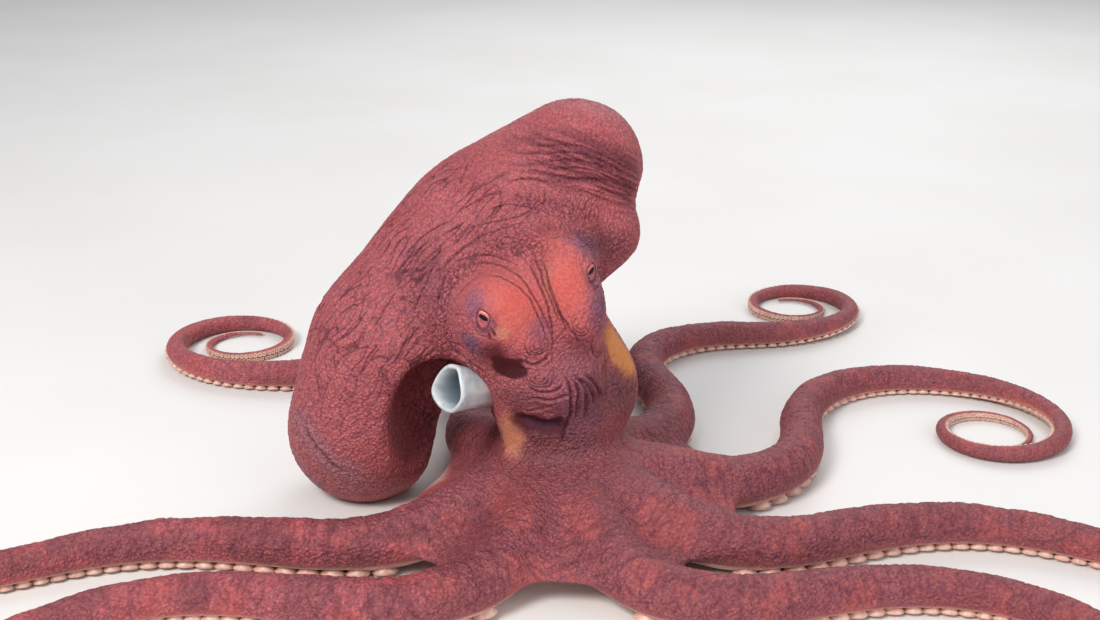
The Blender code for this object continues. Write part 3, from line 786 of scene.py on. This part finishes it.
def curve_distance(plane, corners, reach):
    """Distance from each plane point to a curve, and the share of its length there."""
    curve = smooth_curve(corners)
    distance = np.full(len(plane), reach * 2.0)
    place = np.zeros(len(plane))
    low, high = curve.min(axis=0) - reach, curve.max(axis=0) + reach
    here = np.flatnonzero(((plane > low) & (plane < high)).all(axis=1))
    spot = plane[here]
    best = np.full(len(here), reach * 2.0)
    where = np.zeros(len(here))
    for i, (start, end) in enumerate(zip(curve, curve[1:])):
        line = end - start
        t = np.clip((spot - start) @ line / (line @ line), 0.0, 1.0)
        gap = np.linalg.norm(spot - start - np.outer(t, line), axis=1)
        closer = gap < best
        best[closer] = gap[closer]
        where[closer] = (i + t[closer]) / (len(curve) - 1)
    distance[here] = best
    place[here] = where
    return distance, place


class Relief:
    """Height and painted crease shade gathered over some points, layer by layer."""

    def __init__(self, points):
        self.points = points
        self.height = np.zeros(len(points), np.float32)
        self.crease_shade = np.zeros(len(points), np.float32)

    def groove(self, distance, depth, width, share, dark=0.9):
        """Press a groove with raised shoulders where distance is near zero, with painted shade in it."""
        here = np.flatnonzero(distance < 5.0 * width)
        t = distance[here] / width
        share = share[here]
        shoulder = 0.4 * min(1.0, 0.12 / width)
        self.height[here] += share * depth * (shoulder * np.exp(-((t - 2.2) ** 2)) - np.exp(-t * t))
        self.crease_shade[here] = np.maximum(self.crease_shade[here], dark * share * np.exp(-t * t))

    def grains(self, share, shape, size, seed, depth, edge, dark, source=None):
        """Press borders between grains, found on the points, or on a source, as shape bends them, with
        painted shade in them.
        """
        here = np.flatnonzero(share > 0.02)
        source = self.points if source is None else source
        gap = cell_gap(shape(source[here]), size, seed)
        border = share[here] * (1.0 - ease(gap / edge))
        self.height[here] -= depth * border
        self.crease_shade[here] = np.maximum(self.crease_shade[here], dark * border)


def front_share(points, normals):
    """1 on surfaces that face the front, 0 behind."""
    facing = -normals[:, 1] * math.cos(VIEW_ELEVATION) + normals[:, 2] * math.sin(VIEW_ELEVATION)
    return ease(facing / 0.4) * (points[:, 1] < 2.5)


def add_face_folds(relief, plane, front):
    """Draw the folds and ringed papillae of the face, neck and mantle."""
    wander = 0.08 * (soft_noises(relief.points, 0.55, 3, 2) - 0.5)
    wander += 0.04 * (soft_noises(relief.points, 0.2, 5, 2) - 0.5)
    for depth, width, dark, curves in FOLDS.values():
        for corners in curves:
            distance, place = curve_distance(plane + wander, corners, 6.0 * width)
            taper = ease(4.0 * place) * ease(4.0 * (1.0 - place))
            relief.groove(distance, depth, width, front * (0.1 + 0.9 * taper), dark)
    twist = soft_noises(relief.points, 0.35, 7, 2) - 0.5
    breaks = 0.55 + 0.45 * ease((soft_noise(relief.points, 0.30, 9) - 0.25) / 0.35)
    for across, up, aspect, radii in PAPILLAE:
        offset = plane + 0.12 * twist - np.array([across, up])
        x, y = offset[:, 0] / math.sqrt(aspect), offset[:, 1] * math.sqrt(aspect)
        below = 0.35 + 0.65 * ease(0.5 - offset[:, 1] / 0.5)
        for number, radius in enumerate(radii):
            ring = np.abs(np.hypot(x, y - 0.03 * number) - radius)
            relief.groove(ring, depth=0.048, width=0.038, share=front * below * breaks)
        relief.height += 0.10 * front * np.exp(-((np.hypot(x, y) / max(radii)) ** 2))


def add_body_texture(relief, share, calm, pressed):
    """Cover the mantle and head with lumps, creases and grains."""
    points = relief.points
    loose = share * (1.0 - calm)
    grainy = loose * (1.0 - 0.65 * pressed)
    patches = 0.30 + 0.70 * ease((soft_noise(points, 1.5, 21) - 0.30) / 0.25)
    patches *= 1.0 - 0.6 * near(points, *WEAK_CREASES)
    relief.height += 0.10 * loose * (soft_noise(points, 2.2, 23) - 0.5)
    relief.height += 0.06 * loose * (soft_noise(points, 0.9, 25) - 0.5)
    along = lambda p: run_along(warped(warped(p, 1.6, 0.40, 11), 0.5, 0.08, 12), MANTLE_AXIS, 6.0)
    relief.grains(grainy * patches, along, size=0.42, seed=31, depth=0.055, edge=0.12, dark=1.05)
    meshed = lambda p: run_along(warped(p, 0.8, 0.12, 13), MANTLE_AXIS, 1.5)
    relief.grains(grainy, meshed, size=0.27, seed=33, depth=0.017, edge=0.32, dark=0.38)
    fine = lambda p: warped(p, 0.4, 0.04, 15)
    everywhere = grainy + 0.15 * share * calm
    relief.grains(everywhere, fine, size=0.14, seed=35, depth=0.013, edge=0.50, dark=0.22)


def pressed_wrinkles(relief, plane, share):
    """Pack close wrinkles where the mantle's end folds over."""
    across, up, _, _, lean = PRESSED_SKIN
    x, y = turned(plane[:, 0] - across, plane[:, 1] - up, math.radians(lean))
    flat = np.stack([x, y * (1.0 + 0.12 * x), 0.0 * x], axis=1)
    for size, seed, depth, dark in PRESSED_LAYERS:
        sheets = lambda p: warped(p, 1.4, 0.16, seed + 10) / np.array([11.0, 1.0, 1.0])
        relief.grains(share, sheets, size, seed, depth, edge=0.42, dark=dark, source=flat)


def roughen(relief, share):
    """Cover skin with coarse knobbly grains."""
    bumpy = lambda p: warped(p, 0.6, 0.08, 47)
    relief.grains(share, bumpy, size=0.21, seed=45, depth=0.045, edge=0.36, dark=0.75)


def bulge_bands(points, share):
    """For each eye bulge: its middle, a seed, and how much of its band lies at each point."""
    bands = []
    for centre, inner, outer, seed in BULGE_BANDS:
        away = np.linalg.norm(points - np.asarray(centre), axis=1)
        band = ease((away - inner) / 0.4) * ease((outer - away) / 1.6) * share
        bands.append((np.asarray(centre), seed, band))
    return bands


def add_bulge_bands(relief, bands):
    """Surround both eye bulges with deep fine grains."""
    for centre, seed, band in bands:
        packed = lambda p: warped(p - centre, 1.0, 0.12, seed)
        relief.grains(band, packed, size=0.22, seed=seed + 1, depth=0.046, edge=0.30, dark=0.95)


def arm_coordinates(points):
    """For each point: nearest arm, fraction along it, place in its own section, and radius there."""
    courses = [arm_course(name) for name in ARMS]
    samples = len(courses[0]["f"])
    tree = KDTree(samples * len(courses))
    for number, course in enumerate(courses):
        for i, spot in enumerate(course["centre"].tolist()):
            tree.insert(spot, number * samples + i)
    tree.balance()
    found = np.array([tree.find(p)[1] for p in points.tolist()])
    frames = [arm_frame(course) for course in courses]
    sides = np.concatenate([side for side, _ in frames])[found]
    ups = np.concatenate([up for _, up in frames])[found]
    radii = np.concatenate([course["radius"] for course in courses])[found]
    offset = points - np.concatenate([course["centre"] for course in courses])[found]
    across = (offset * sides).sum(axis=1) / radii
    above = (offset * ups).sum(axis=1) / radii
    fraction = (found % samples) / (samples - 1.0)
    return {"arm": found // samples, "f": fraction, "across": across, "above": above, "radius": radii}


def add_arm_texture(relief, arm):
    """Wrinkle the arms across their length and cover them with grains."""
    upper = ease((arm["above"] + 0.35) / 0.5)
    relief.height += 0.10 * upper * arm["radius"] * (soft_noise(relief.points, 1.3, 69) - 0.5)
    turn = np.arctan2(arm["above"], arm["across"])
    flat = np.stack([arm["f"] * ARM_LENGTH, turn * arm["radius"] * 0.25, arm["arm"] * 7.0], axis=1)
    share = upper * np.clip(arm["radius"] / 0.9, 0.15, 1.0)
    ringed = lambda p: warped(p, 1.1, 0.16, 61)
    relief.grains(share, ringed, size=0.32, seed=63, depth=0.036, edge=0.22, dark=0.70, source=flat)
    fine = lambda p: warped(p, 0.8, 0.1, 65)
    relief.grains(share, fine, size=0.18, seed=67, depth=0.020, edge=0.40, dark=0.50)


def patch(plane, front, across, up, half_width, half_height, lean=0.0, soft=0.5):
    """A soft-edged oval on the face plane."""
    x, y = turned(plane[:, 0] - across, plane[:, 1] - up, math.radians(lean))
    away = np.hypot(x / half_width, y / half_height)
    return front * (1.0 - ease((away - 1.0 + soft) / (2.0 * soft)))


def strongest(*masks):
    """The larger of several masks at each point."""
    return np.maximum.reduce(masks)


def paint_masks(mesh, points, front, body, pale):
    """Store where each colour of the skin lies, painted shade and painted highlight among them."""
    plane = face_plane(points) + 0.25 * (soft_noises(points, 0.5, 71, 2) - 0.5)
    face = front * ease((0.6 - points[:, 1]) / 1.6)
    tints = {}
    for name, ovals in TINTS.items():
        tints[name] = strongest(*[strength * patch(plane, face, *shape) for strength, *shape in ovals])
    # A violet band round the lids: partly their own colour, partly painted shade.
    tints["blue"] = np.maximum(tints["blue"], 0.5 * lid_bands(points, 1.55, 0.45, 0.4))
    edge, _ = curve_distance(plane, FOLDS["rim of the mantle"][3][0], 2.0)
    beyond = near(points, *RESTING_END)
    tints["rim"] = np.maximum(0.6 * ease(1.0 - edge / 0.9) * front, 0.55 * ease(1.2 * beyond))
    # A pale band along the lower lids: painted highlight on their wet edges.
    tints["rim"] = np.maximum(tints["rim"], 0.6 * lid_bands(points, 1.32, 0.14, 0.1))
    # Painted shade towards the floor, low on the head and on the arms near it, and on the pressed skin.
    low = ease((5.6 - points[:, 2]) / 3.4) * (1.0 - ease((-3.6 - points[:, 0]) / 1.2))
    pressed = 0.22 * patch(plane, front, *PRESSED_SHADE)
    mottles = ease((soft_noise(points, 1.1, 73) - 0.52) / 0.14) * (1.0 - body)
    glow = ease((soft_noise(points, 0.9, 75) - 0.55) / 0.12) * (1.0 - body) * (1.0 - mottles)
    tints["warm"] = np.maximum(tints["warm"], 0.40 * glow)
    # Painted shade and the arms' real darker mottles, in one mask.
    tints["shade_and_mottle"] = strongest(tints["shade_and_mottle"], pressed, low * (0.55 + 0.45 * body), 0.55 * mottles)
    tints["pale"] = pale * (1.0 - body)
    for name, share in tints.items():
        set_attribute(mesh, name, share)


def lid_calm(points):
    """0 at the eyes' openings, 1 away from them."""
    calm = np.ones(len(points))
    for node in EYES:
        local = seen_from_eye(points, node)
        beside = ease((lid_distance(local) - LID_CREST) / 0.6)
        calm = np.minimum(calm, np.where(local[:, 2] > 0.0, beside, 1.0))
    return calm


def lid_bands(points, middle, width, above=1.0):
    """Band round the eyes' openings: distance in shares of the rim's, width, share above the eye."""
    band = np.zeros(len(points))
    for node in EYES:
        local = seen_from_eye(points, node)
        here = np.exp(-(((lid_distance(local) - middle) / width) ** 2))
        here *= above + (1.0 - above) * ease((0.25 - local[:, 1]) / 0.45)
        band = np.maximum(band, np.where(local[:, 2] > 0.0, here, 0.0))
    return band


def lid_edges(points):
    """Painted shade along the lids: one line in the edge of each opening, one in the fold outside it."""
    return strongest(lid_bands(points, LID_EDGE, 0.25), 0.45 * lid_bands(points, LID_FOLD, 0.16, 0.15))


def body_relief(points, normals, share):
    """Folds and grains of the head and mantle."""
    relief = Relief(points)
    plane = face_plane(points)
    front = front_share(points, normals)
    calm = strongest(*[depth * patch(plane, front, *shape, 0.55) for depth, *shape in CALM_SKIN])
    pressed = np.clip(1.3 * share * patch(plane, front, *PRESSED_SKIN, 0.6), 0.0, 1.0)
    rough = share * strongest(*[patch(plane, front, *shape, 0.6) for shape in ROUGH_SKIN])
    bands = bulge_bands(points, share * (1.0 - calm) * (0.25 + 0.75 * front))
    orderly = strongest(pressed, *[band for _, _, band in bands])
    add_face_folds(relief, plane, front)
    add_body_texture(relief, share, calm, orderly)
    pressed_wrinkles(relief, plane, pressed)
    roughen(relief, rough * (1.0 - calm) * (1.0 - 0.7 * orderly))
    add_bulge_bands(relief, bands)
    return relief


def skin_relief(points, normals, body):
    """Height, painted crease shade and paleness at every point, from the body's relief and the arms'."""
    on_body = np.flatnonzero(body > 0.0)
    on_arms = np.flatnonzero(body < 1.0)
    trunk = body_relief(points[on_body], normals[on_body], body[on_body])
    arm = arm_coordinates(points[on_arms])
    limbs = Relief(points[on_arms])
    add_arm_texture(limbs, arm)
    height, crease_shade, pale = np.zeros((3, len(points)), np.float32)
    for relief, spots, share in ((trunk, on_body, body[on_body]), (limbs, on_arms, 1.0 - body[on_arms])):
        height[spots] += relief.height * share
        crease_shade[spots] += relief.crease_shade * share
    pale[on_arms] = ease((-0.22 - arm["above"]) / 0.22)
    return height, crease_shade, pale


def build_skin():
    """The whole skin: smooth form, folds, lids and masks of colour."""
    mesh = skin_base()
    points = points_of(mesh)
    normals = normals_of(mesh)
    body = body_share(points)
    front = front_share(points, normals)
    height, crease_shade, pale = skin_relief(points, normals, body)
    lids = lid_calm(points)
    settled = ease(points[:, 2] / 0.4)
    dressed = points + normals * (height * lids * settled)[:, None]
    for node in EYES:
        dressed = open_lids(dressed, node)
    dressed[:, 2] = np.maximum(dressed[:, 2], FLOOR_GAP)
    set_points(mesh, dressed)
    # Painted shade in the creases, along the lids' edges and folds, and in the hollow under the overhang.
    recess = patch(face_plane(points), front, *RECESS)
    set_attribute(mesh, "crease_shade", strongest(crease_shade * lids ** 0.35, lid_edges(points), 0.35 * recess))
    paint_masks(mesh, points, front, body, pale)
    shade_smooth(mesh)
    skin = add_object("skin", mesh)
    skin.data.materials.append(skin_material())
    flesh = [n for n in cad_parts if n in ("mantle", "head", "web") or n.startswith("arm_")]
    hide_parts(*flesh)
    return skin


# ---------------------------------------------------------------- suckers and funnel

def sucker_places(course):
    """Where each sucker of an arm sits: centre, outward direction and width."""
    side, up = arm_frame(course)
    s = SUCKER_START
    row = 1
    places = []
    while s < ARM_LENGTH - 0.1:
        i = int(round(s / ARM_LENGTH * (len(course["f"]) - 1)))
        radius = course["radius"][i]
        width = SUCKER_WIDTH * radius
        cosine = SUCKER_ROW / ARM_HALF_WIDTH
        sine = math.sqrt(1.0 - cosine * cosine)
        below = ARM_BOTTOM * sine ** 0.75 * 0.96
        out = unit(-up[i] + 0.22 * row * side[i])
        centre = course["centre"][i] + radius * (row * SUCKER_ROW * side[i] - below * up[i])
        places.append((centre, out, width))
        s += 0.5 * SUCKER_SPACING * width
        row = -row
    return places


def build_suckers(name):
    """All suckers of one arm, joined, each a raised ring round a dimple."""
    points, faces, cups, count = [], [], [], 0
    for number, (centre, out, width) in enumerate(sucker_places(arm_course(name))):
        sides = 16 if width > 0.5 else 10
        turn = np.linspace(0.0, 2.0 * math.pi, sides, endpoint=False)
        first = unit(np.cross(out, [0.31, 0.17, 0.93]))
        second = np.cross(out, first)
        circle = np.outer(np.cos(turn), first) + np.outer(np.sin(turn), second)
        wave = 1.0 + 0.025 * np.sin(3.0 * turn + number)[:, None]
        for reach, rise in SUCKER_PROFILE:
            points.append(centre + out * rise * width + circle * wave * reach * width)
            cups.append(np.full(sides, reach / SUCKER_RIM))
        faces += tube_faces(len(SUCKER_PROFILE), sides, count)
        count += sides * len(SUCKER_PROFILE)
    points = np.concatenate(points)
    points[:, 2] = np.maximum(points[:, 2], FLOOR_GAP)
    mesh = mesh_from("suckers_" + name, points, faces)
    shade_smooth(mesh)
    set_attribute(mesh, "cup", np.concatenate(cups))
    suckers = add_object("suckers_" + name, mesh)
    suckers.data.materials.append(sucker_material())
    return suckers


def funnel_profile():
    """Rings up the funnel's outside, over its lip and down inside: share of its length, radius, depth."""
    swell = FUNNEL_MOUTH_RADIUS - FUNNEL_ROOT_RADIUS
    bore = FUNNEL_MOUTH_RADIUS - 2.0 * FUNNEL_LIP
    profile = []
    for t in np.linspace(-0.25, 1.0, 26):
        profile.append((t, FUNNEL_ROOT_RADIUS + swell * ease(t) - 0.05 * math.sin(4.0 * t), 0.0))
    for a in (0.8, 1.57, 2.4):
        profile.append((1.0 + 0.02 * math.sin(a), bore + FUNNEL_LIP * (1.0 + math.cos(a)), 0.0))
    for t in np.linspace(0.99, 0.05, 22):
        profile.append((t, bore - 0.42 * (1.0 - t) ** 0.7, (1.0 - t) ** 0.6))
    return profile


def funnel_ring(turn, t):
    """Sideways and upward shares of the radius round the funnel, and how far the ring slants."""
    flare = ease((t - 0.3) / 0.7)
    wave = 1.0 + 0.045 * flare * np.sin(3.0 * turn + 0.6) + 0.028 * flare * np.sin(5.0 * turn + 2.0)
    wave += 0.022 * (1.0 - flare) * np.sin(9.0 * turn + 1.5 * t)
    slant = -FUNNEL_SLANT * flare * (1.0 + np.cos(turn)) / 2.0
    slant += 0.07 * flare * np.sin(2.0 * turn + 0.8)
    narrow = 0.94 - 0.28 * flare * np.sin(turn)
    aside = np.cos(turn) * wave * narrow + FUNNEL_LEAN * flare * np.sin(turn)
    return aside, np.sin(turn) * wave * 1.08, slant


def build_funnel():
    """The funnel: a fleshy tube with a flared, thin, slanting lip."""
    root, mouth = np.array(FUNNEL_ROOT), np.array(FUNNEL_MOUTH)
    out = unit(mouth - root)
    across = unit(np.cross([0.0, 0.0, 1.0], out))
    up = np.cross(out, across)
    length = float(np.linalg.norm(mouth - root))
    turn = np.linspace(0.0, 2.0 * math.pi, FUNNEL_SIDES, endpoint=False)
    rings, depths = [], []
    for t, radius, depth in funnel_profile():
        aside, above, slant = funnel_ring(turn, t)
        oval = np.outer(aside, across) + np.outer(above, up)
        rings.append(root + np.outer(t * length + slant, out) + radius * oval)
        depths.append(np.full(FUNNEL_SIDES, depth))
    points = np.concatenate(rings)
    spine = root + np.outer((points - root) @ out, out)
    points += (points - spine) * 0.16 * (soft_noise(points, 0.9, 81) - 0.5)[:, None]
    mesh = mesh_from("funnel_tube", points, tube_faces(len(rings), FUNNEL_SIDES))
    shade_smooth(mesh)
    # How deep inside the tube a point lies, where the material paints shade.
    set_attribute(mesh, "depth", np.concatenate(depths))
    reach = (points - root) @ out / length
    set_attribute(mesh, "root", 1.0 - ease((reach - 0.05) / 0.62))
    funnel = add_object("funnel_tube", mesh)
    funnel.data.materials.append(funnel_material())
    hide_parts("funnel")
    return funnel


# ---------------------------------------------------------------- materials

class Nodes:
    """Short names for the nodes that the materials are made of."""

    def __init__(self, name):
        self.material = bpy.data.materials.new(name)
        self.material.use_nodes = True
        self.tree = self.material.node_tree
        self.shader = self.tree.nodes["Principled BSDF"]
        self.place = self.tree.nodes.new("ShaderNodeTexCoord").outputs["Object"]

    def link(self, source, target):
        """Feed a socket from another socket, a number or a colour."""
        if isinstance(source, bpy.types.NodeSocket):
            self.tree.links.new(source, target)
        elif isinstance(source, tuple):
            target.default_value = (*to_linear(*source), 1.0)
        else:
            target.default_value = source

    def attribute(self, name):
        """A number stored on the mesh."""
        node = self.tree.nodes.new("ShaderNodeAttribute")
        node.attribute_name = name
        return node.outputs["Fac"]

    def math(self, operation, first, second=0.0, third=0.0):
        """A sum on numbers."""
        node = self.tree.nodes.new("ShaderNodeMath")
        node.operation = operation
        for value, target in zip((first, second, third), node.inputs):
            self.link(value, target)
        return node.outputs[0]

    def blend(self, share, first, second):
        """Blend two colours."""
        node = self.tree.nodes.new("ShaderNodeMix")
        node.data_type = "RGBA"
        self.link(share, node.inputs["Factor"])
        self.link(first, node.inputs[6])
        self.link(second, node.inputs[7])
        return node.outputs[2]

    def noise(self, scale, detail, roughness):
        """Smooth noise."""
        node = self.tree.nodes.new("ShaderNodeTexNoise")
        self.link(self.place, node.inputs["Vector"])
        node.inputs["Scale"].default_value = scale
        node.inputs["Detail"].default_value = detail
        node.inputs["Roughness"].default_value = roughness
        return node.outputs["Fac"]

    def grains(self, scale, feature, place):
        """Cells, by distance from their middle or from their border."""
        node = self.tree.nodes.new("ShaderNodeTexVoronoi")
        node.feature = feature
        self.link(place, node.inputs["Vector"])
        node.inputs["Scale"].default_value = scale
        return node.outputs["Distance"]

    def span(self, value, low, high, start=0.0, end=1.0):
        """Map a range of values to another, and hold the ends."""
        node = self.tree.nodes.new("ShaderNodeMapRange")
        node.interpolation_type = "SMOOTHSTEP"
        for socket, number in zip(node.inputs[:5], (value, low, high, start, end)):
            self.link(number, socket)
        return node.outputs[0]

    def bump(self, height, distance, under=None):
        """Bump from a height in metres."""
        node = self.tree.nodes.new("ShaderNodeBump")
        node.inputs["Strength"].default_value = 1.0
        node.inputs["Distance"].default_value = distance
        self.link(height, node.inputs["Height"])
        if under is not None:
            self.link(under, node.inputs["Normal"])
        return node.outputs["Normal"]

    def set(self, **values):
        """Set the shader's own sockets."""
        for name, value in values.items():
            self.link(value, self.shader.inputs[name.replace("_", " ")])


def swirled(nodes, scale, reach):
    """The object's coordinates pushed about by noise."""
    node = nodes.tree.nodes.new("ShaderNodeTexNoise")
    nodes.link(nodes.place, node.inputs["Vector"])
    node.inputs["Scale"].default_value = scale
    shift = nodes.tree.nodes.new("ShaderNodeVectorMath")
    shift.operation = "MULTIPLY_ADD"
    nodes.link(node.outputs["Color"], shift.inputs[0])
    shift.inputs[1].default_value = (reach, reach, reach)
    nodes.link(nodes.place, shift.inputs[2])
    return shift.outputs[0]


def grain_share(nodes, tints):
    """How much the grains show: less under the smooth tints, least in the shade."""
    smooth = tints["shade"]
    for name in ("warm", "tan", "ochre"):
        smooth = nodes.math("MAXIMUM", smooth, tints[name])
    calm = nodes.math("MULTIPLY", smooth, 0.72)
    calmest = nodes.math("MULTIPLY", tints["shade"], 0.86)
    return nodes.math("SUBTRACT", 1.0, nodes.math("MAXIMUM", calm, calmest))


def with_grains(nodes, colour, lumps, grains, veins, quiet):
    """Draw violet veins over a colour, painted shade on the borders of the grains and a painted highlight
    on their tops.
    """
    vein = nodes.math("MULTIPLY", nodes.span(veins, 0.07, 0.0), nodes.span(lumps, 0.42, 0.60, 0.05, 0.70))
    colour = nodes.blend(nodes.math("MULTIPLY", vein, quiet), colour, (104, 58, 88))
    # Painted shade on the borders between grains.
    border = nodes.math("MULTIPLY", nodes.span(grains, 0.30, 0.75, 0.0, 0.62), quiet)
    colour = nodes.blend(border, colour, (104, 46, 62))
    # Painted highlight on the tops of the grains.
    lit_tops = nodes.math("MULTIPLY", nodes.span(grains, 0.32, 0.0, 0.0, 0.30), quiet)
    return nodes.blend(lit_tops, colour, (226, 122, 92))


def skin_material():
    """Brick-red grainy skin with violet painted shade in its creases, orange bulges and pale undersides."""
    nodes = Nodes("octopus_skin")
    lumps = nodes.noise(28.0, 4.0, 0.62)
    speckle = nodes.noise(900.0, 3.0, 0.7)
    wander = swirled(nodes, 300.0, 0.0007)
    veins = nodes.grains(260.0, "DISTANCE_TO_EDGE", wander)
    grains = nodes.grains(820.0, "F1", wander)
    crease_shade = nodes.attribute("crease_shade")
    tints = {name: nodes.attribute(name) for name in TINT_COLOURS}
    shade = tints["shade"]
    colour = nodes.blend(nodes.span(lumps, 0.35, 0.65), (176, 78, 84), (196, 98, 102))
    for name, paint in TINT_COLOURS.items():
        colour = nodes.blend(tints[name], colour, paint)
    quiet = grain_share(nodes, tints)
    colour = with_grains(nodes, colour, lumps, grains, veins, quiet)
    # Painted violet shade in the creases and hollows.
    colour = nodes.blend(nodes.math("MULTIPLY", crease_shade, 0.90), colour, (66, 32, 52))
    open_skin = nodes.span(shade, 0.0, 1.0, 1.0, 0.15)
    flecks = nodes.math("MULTIPLY", nodes.span(speckle, 0.35, 0.70, 0.0, 0.16), open_skin)
    colour = nodes.blend(flecks, colour, (226, 140, 118))
    under = nodes.blend(nodes.span(lumps, 0.35, 0.65), (214, 168, 154), (196, 142, 132))
    colour = nodes.blend(nodes.attribute("pale"), colour, under)
    nodes.set(Base_Color=colour)
    rough = nodes.span(speckle, 0.30, 0.70, 0.50, 0.66)
    nodes.set(Roughness=rough, Subsurface_Weight=0.10, Subsurface_Scale=0.004)
    nodes.shader.inputs["Subsurface Radius"].default_value = (1.0, 0.35, 0.25)
    matt = nodes.math("MAXIMUM", crease_shade, shade)
    nodes.set(Specular_IOR_Level=nodes.span(matt, 0.0, 1.0, 0.38, 0.10))
    relief = nodes.math("MULTIPLY", nodes.span(grains, 0.75, 0.05), quiet)
    fine = nodes.bump(speckle, 0.00012)
    nodes.set(Normal=nodes.bump(relief, 0.00040, fine))
    return nodes.material


def eye_material():
    """Copper iris round a dark slit, under a wet surface."""
    nodes = Nodes("octopus_eye")
    flecks = nodes.noise(1400.0, 3.0, 0.7)
    lower = nodes.blend(nodes.span(flecks, 0.35, 0.65), (184, 92, 98), (138, 66, 78))
    upper = nodes.blend(nodes.span(flecks, 0.35, 0.65), (226, 128, 112), (196, 96, 86))
    colour = nodes.blend(nodes.attribute("upper"), lower, upper)
    colour = nodes.blend(nodes.attribute("pupil"), colour, (14, 10, 20))
    nodes.set(Base_Color=colour, Roughness=0.22)
    nodes.shader.inputs["Specular IOR Level"].default_value = 0.24
    nodes.set(Normal=nodes.bump(flecks, 0.00005))
    return nodes.material


def sucker_material():
    """Cream suckers, with painted shade in the cup, and dusky on the rim."""
    nodes = Nodes("octopus_suckers")
    mottle = nodes.noise(420.0, 3.0, 0.6)
    cup = nodes.attribute("cup")
    colour = nodes.blend(nodes.span(mottle, 0.35, 0.65), (226, 190, 172), (208, 160, 146))
    # Painted shade in the hollow of each cup.
    colour = nodes.blend(nodes.span(cup, 0.55, 0.10, 0.0, 0.75), colour, (128, 78, 80))
    colour = nodes.blend(nodes.span(cup, 0.92, 1.0, 0.0, 0.35), colour, (176, 112, 108))
    nodes.set(Base_Color=colour, Roughness=0.42, Subsurface_Weight=0.08, Subsurface_Scale=0.003)
    nodes.set(Normal=nodes.bump(mottle, 0.00012))
    return nodes.material


def funnel_material():
    """Bluish white flesh, grey inside as painted shade, and pink at its root, darkened there partly as
    painted shade.
    """
    nodes = Nodes("octopus_funnel")
    mottle = nodes.noise(300.0, 3.0, 0.6)
    colour = nodes.blend(nodes.span(mottle, 0.35, 0.65), (206, 212, 214), (180, 192, 198))
    # Painted shade inside the tube.
    colour = nodes.blend(nodes.span(nodes.attribute("depth"), 0.0, 0.55), colour, (92, 104, 114))
    # The root: skin-like pink, darkened partly as painted shade near the head.
    colour = nodes.blend(nodes.attribute("root"), colour, (140, 90, 98))
    nodes.set(Base_Color=colour, Roughness=0.38, Subsurface_Weight=0.15, Subsurface_Scale=0.004)
    nodes.set(Normal=nodes.bump(mottle, 0.00015))
    return nodes.material


def floor_material():
    """Plain pale floor with the faintest mottling."""
    nodes = Nodes("studio_floor")
    mottle = nodes.noise(6.0, 2.0, 0.5)
    colour = nodes.blend(nodes.span(mottle, 0.3, 0.7), (222, 220, 216), (226, 224, 221))
    nodes.set(Base_Color=colour, Roughness=0.7)
    return nodes.material


# ---------------------------------------------------------------- studio

def build_floor():
    """A wide plain floor under the octopus."""
    bm = bmesh.new()
    bmesh.ops.create_grid(bm, x_segments=8, y_segments=8, size=6.0)
    mesh = bpy.data.meshes.new("floor")
    bm.to_mesh(mesh)
    bm.free()
    floor = add_object("floor", mesh)
    floor.data.materials.append(floor_material())


def add_light(name, place, target, size, power, colour):
    """A square soft light, aimed at a point; metres and watts."""
    lamp = bpy.data.lights.new(name, "AREA")
    lamp.size = size
    lamp.energy = power
    lamp.color = colour
    item = bpy.data.objects.new(name, lamp)
    item.location = place
    item.rotation_euler = (Vector(target) - Vector(place)).to_track_quat("-Z", "Y").to_euler()
    bpy.context.scene.collection.objects.link(item)


def build_studio():
    """Soft key light from the upper left, three weaker ones and a pale surround."""
    for name, (place, size, power, colour) in LIGHTS.items():
        add_light(name, place, LIGHTS_AIM, size, power, colour)
    world = bpy.data.worlds.new("surround")
    world.use_nodes = True
    background = world.node_tree.nodes["Background"]
    background.inputs["Color"].default_value = SURROUND_COLOUR
    background.inputs["Strength"].default_value = SURROUND_STRENGTH
    bpy.context.scene.world = world
    bpy.context.scene.view_settings.view_transform = "Standard"


def build_camera():
    """Look at the head from the front, a little from above."""
    lens = bpy.data.cameras.new("camera")
    lens.lens = LENS
    camera = bpy.data.objects.new("camera", lens)
    back = VIEW_DISTANCE * CM * math.cos(VIEW_ELEVATION)
    above = VIEW_DISTANCE * CM * math.sin(VIEW_ELEVATION)
    camera.location = (0.0, -back, VIEW_TARGET_HEIGHT * CM + above)
    camera.rotation_euler = (math.pi / 2.0 - VIEW_ELEVATION, 0.0, 0.0)
    bpy.context.scene.collection.objects.link(camera)
    bpy.context.scene.camera = camera


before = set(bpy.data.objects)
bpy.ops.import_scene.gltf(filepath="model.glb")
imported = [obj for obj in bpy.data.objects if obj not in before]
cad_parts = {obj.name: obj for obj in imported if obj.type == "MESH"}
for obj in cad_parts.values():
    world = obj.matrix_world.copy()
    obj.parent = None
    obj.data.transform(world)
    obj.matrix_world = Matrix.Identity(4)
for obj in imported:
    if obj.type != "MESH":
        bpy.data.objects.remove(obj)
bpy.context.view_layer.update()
pieces = [build_skin(), build_funnel()]
pieces += [build_eye(node) for node in EYES]
pieces += [build_suckers(name) for name in ARMS]
for piece in pieces:
    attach(piece, "root")
build_floor()
build_studio()
build_camera()
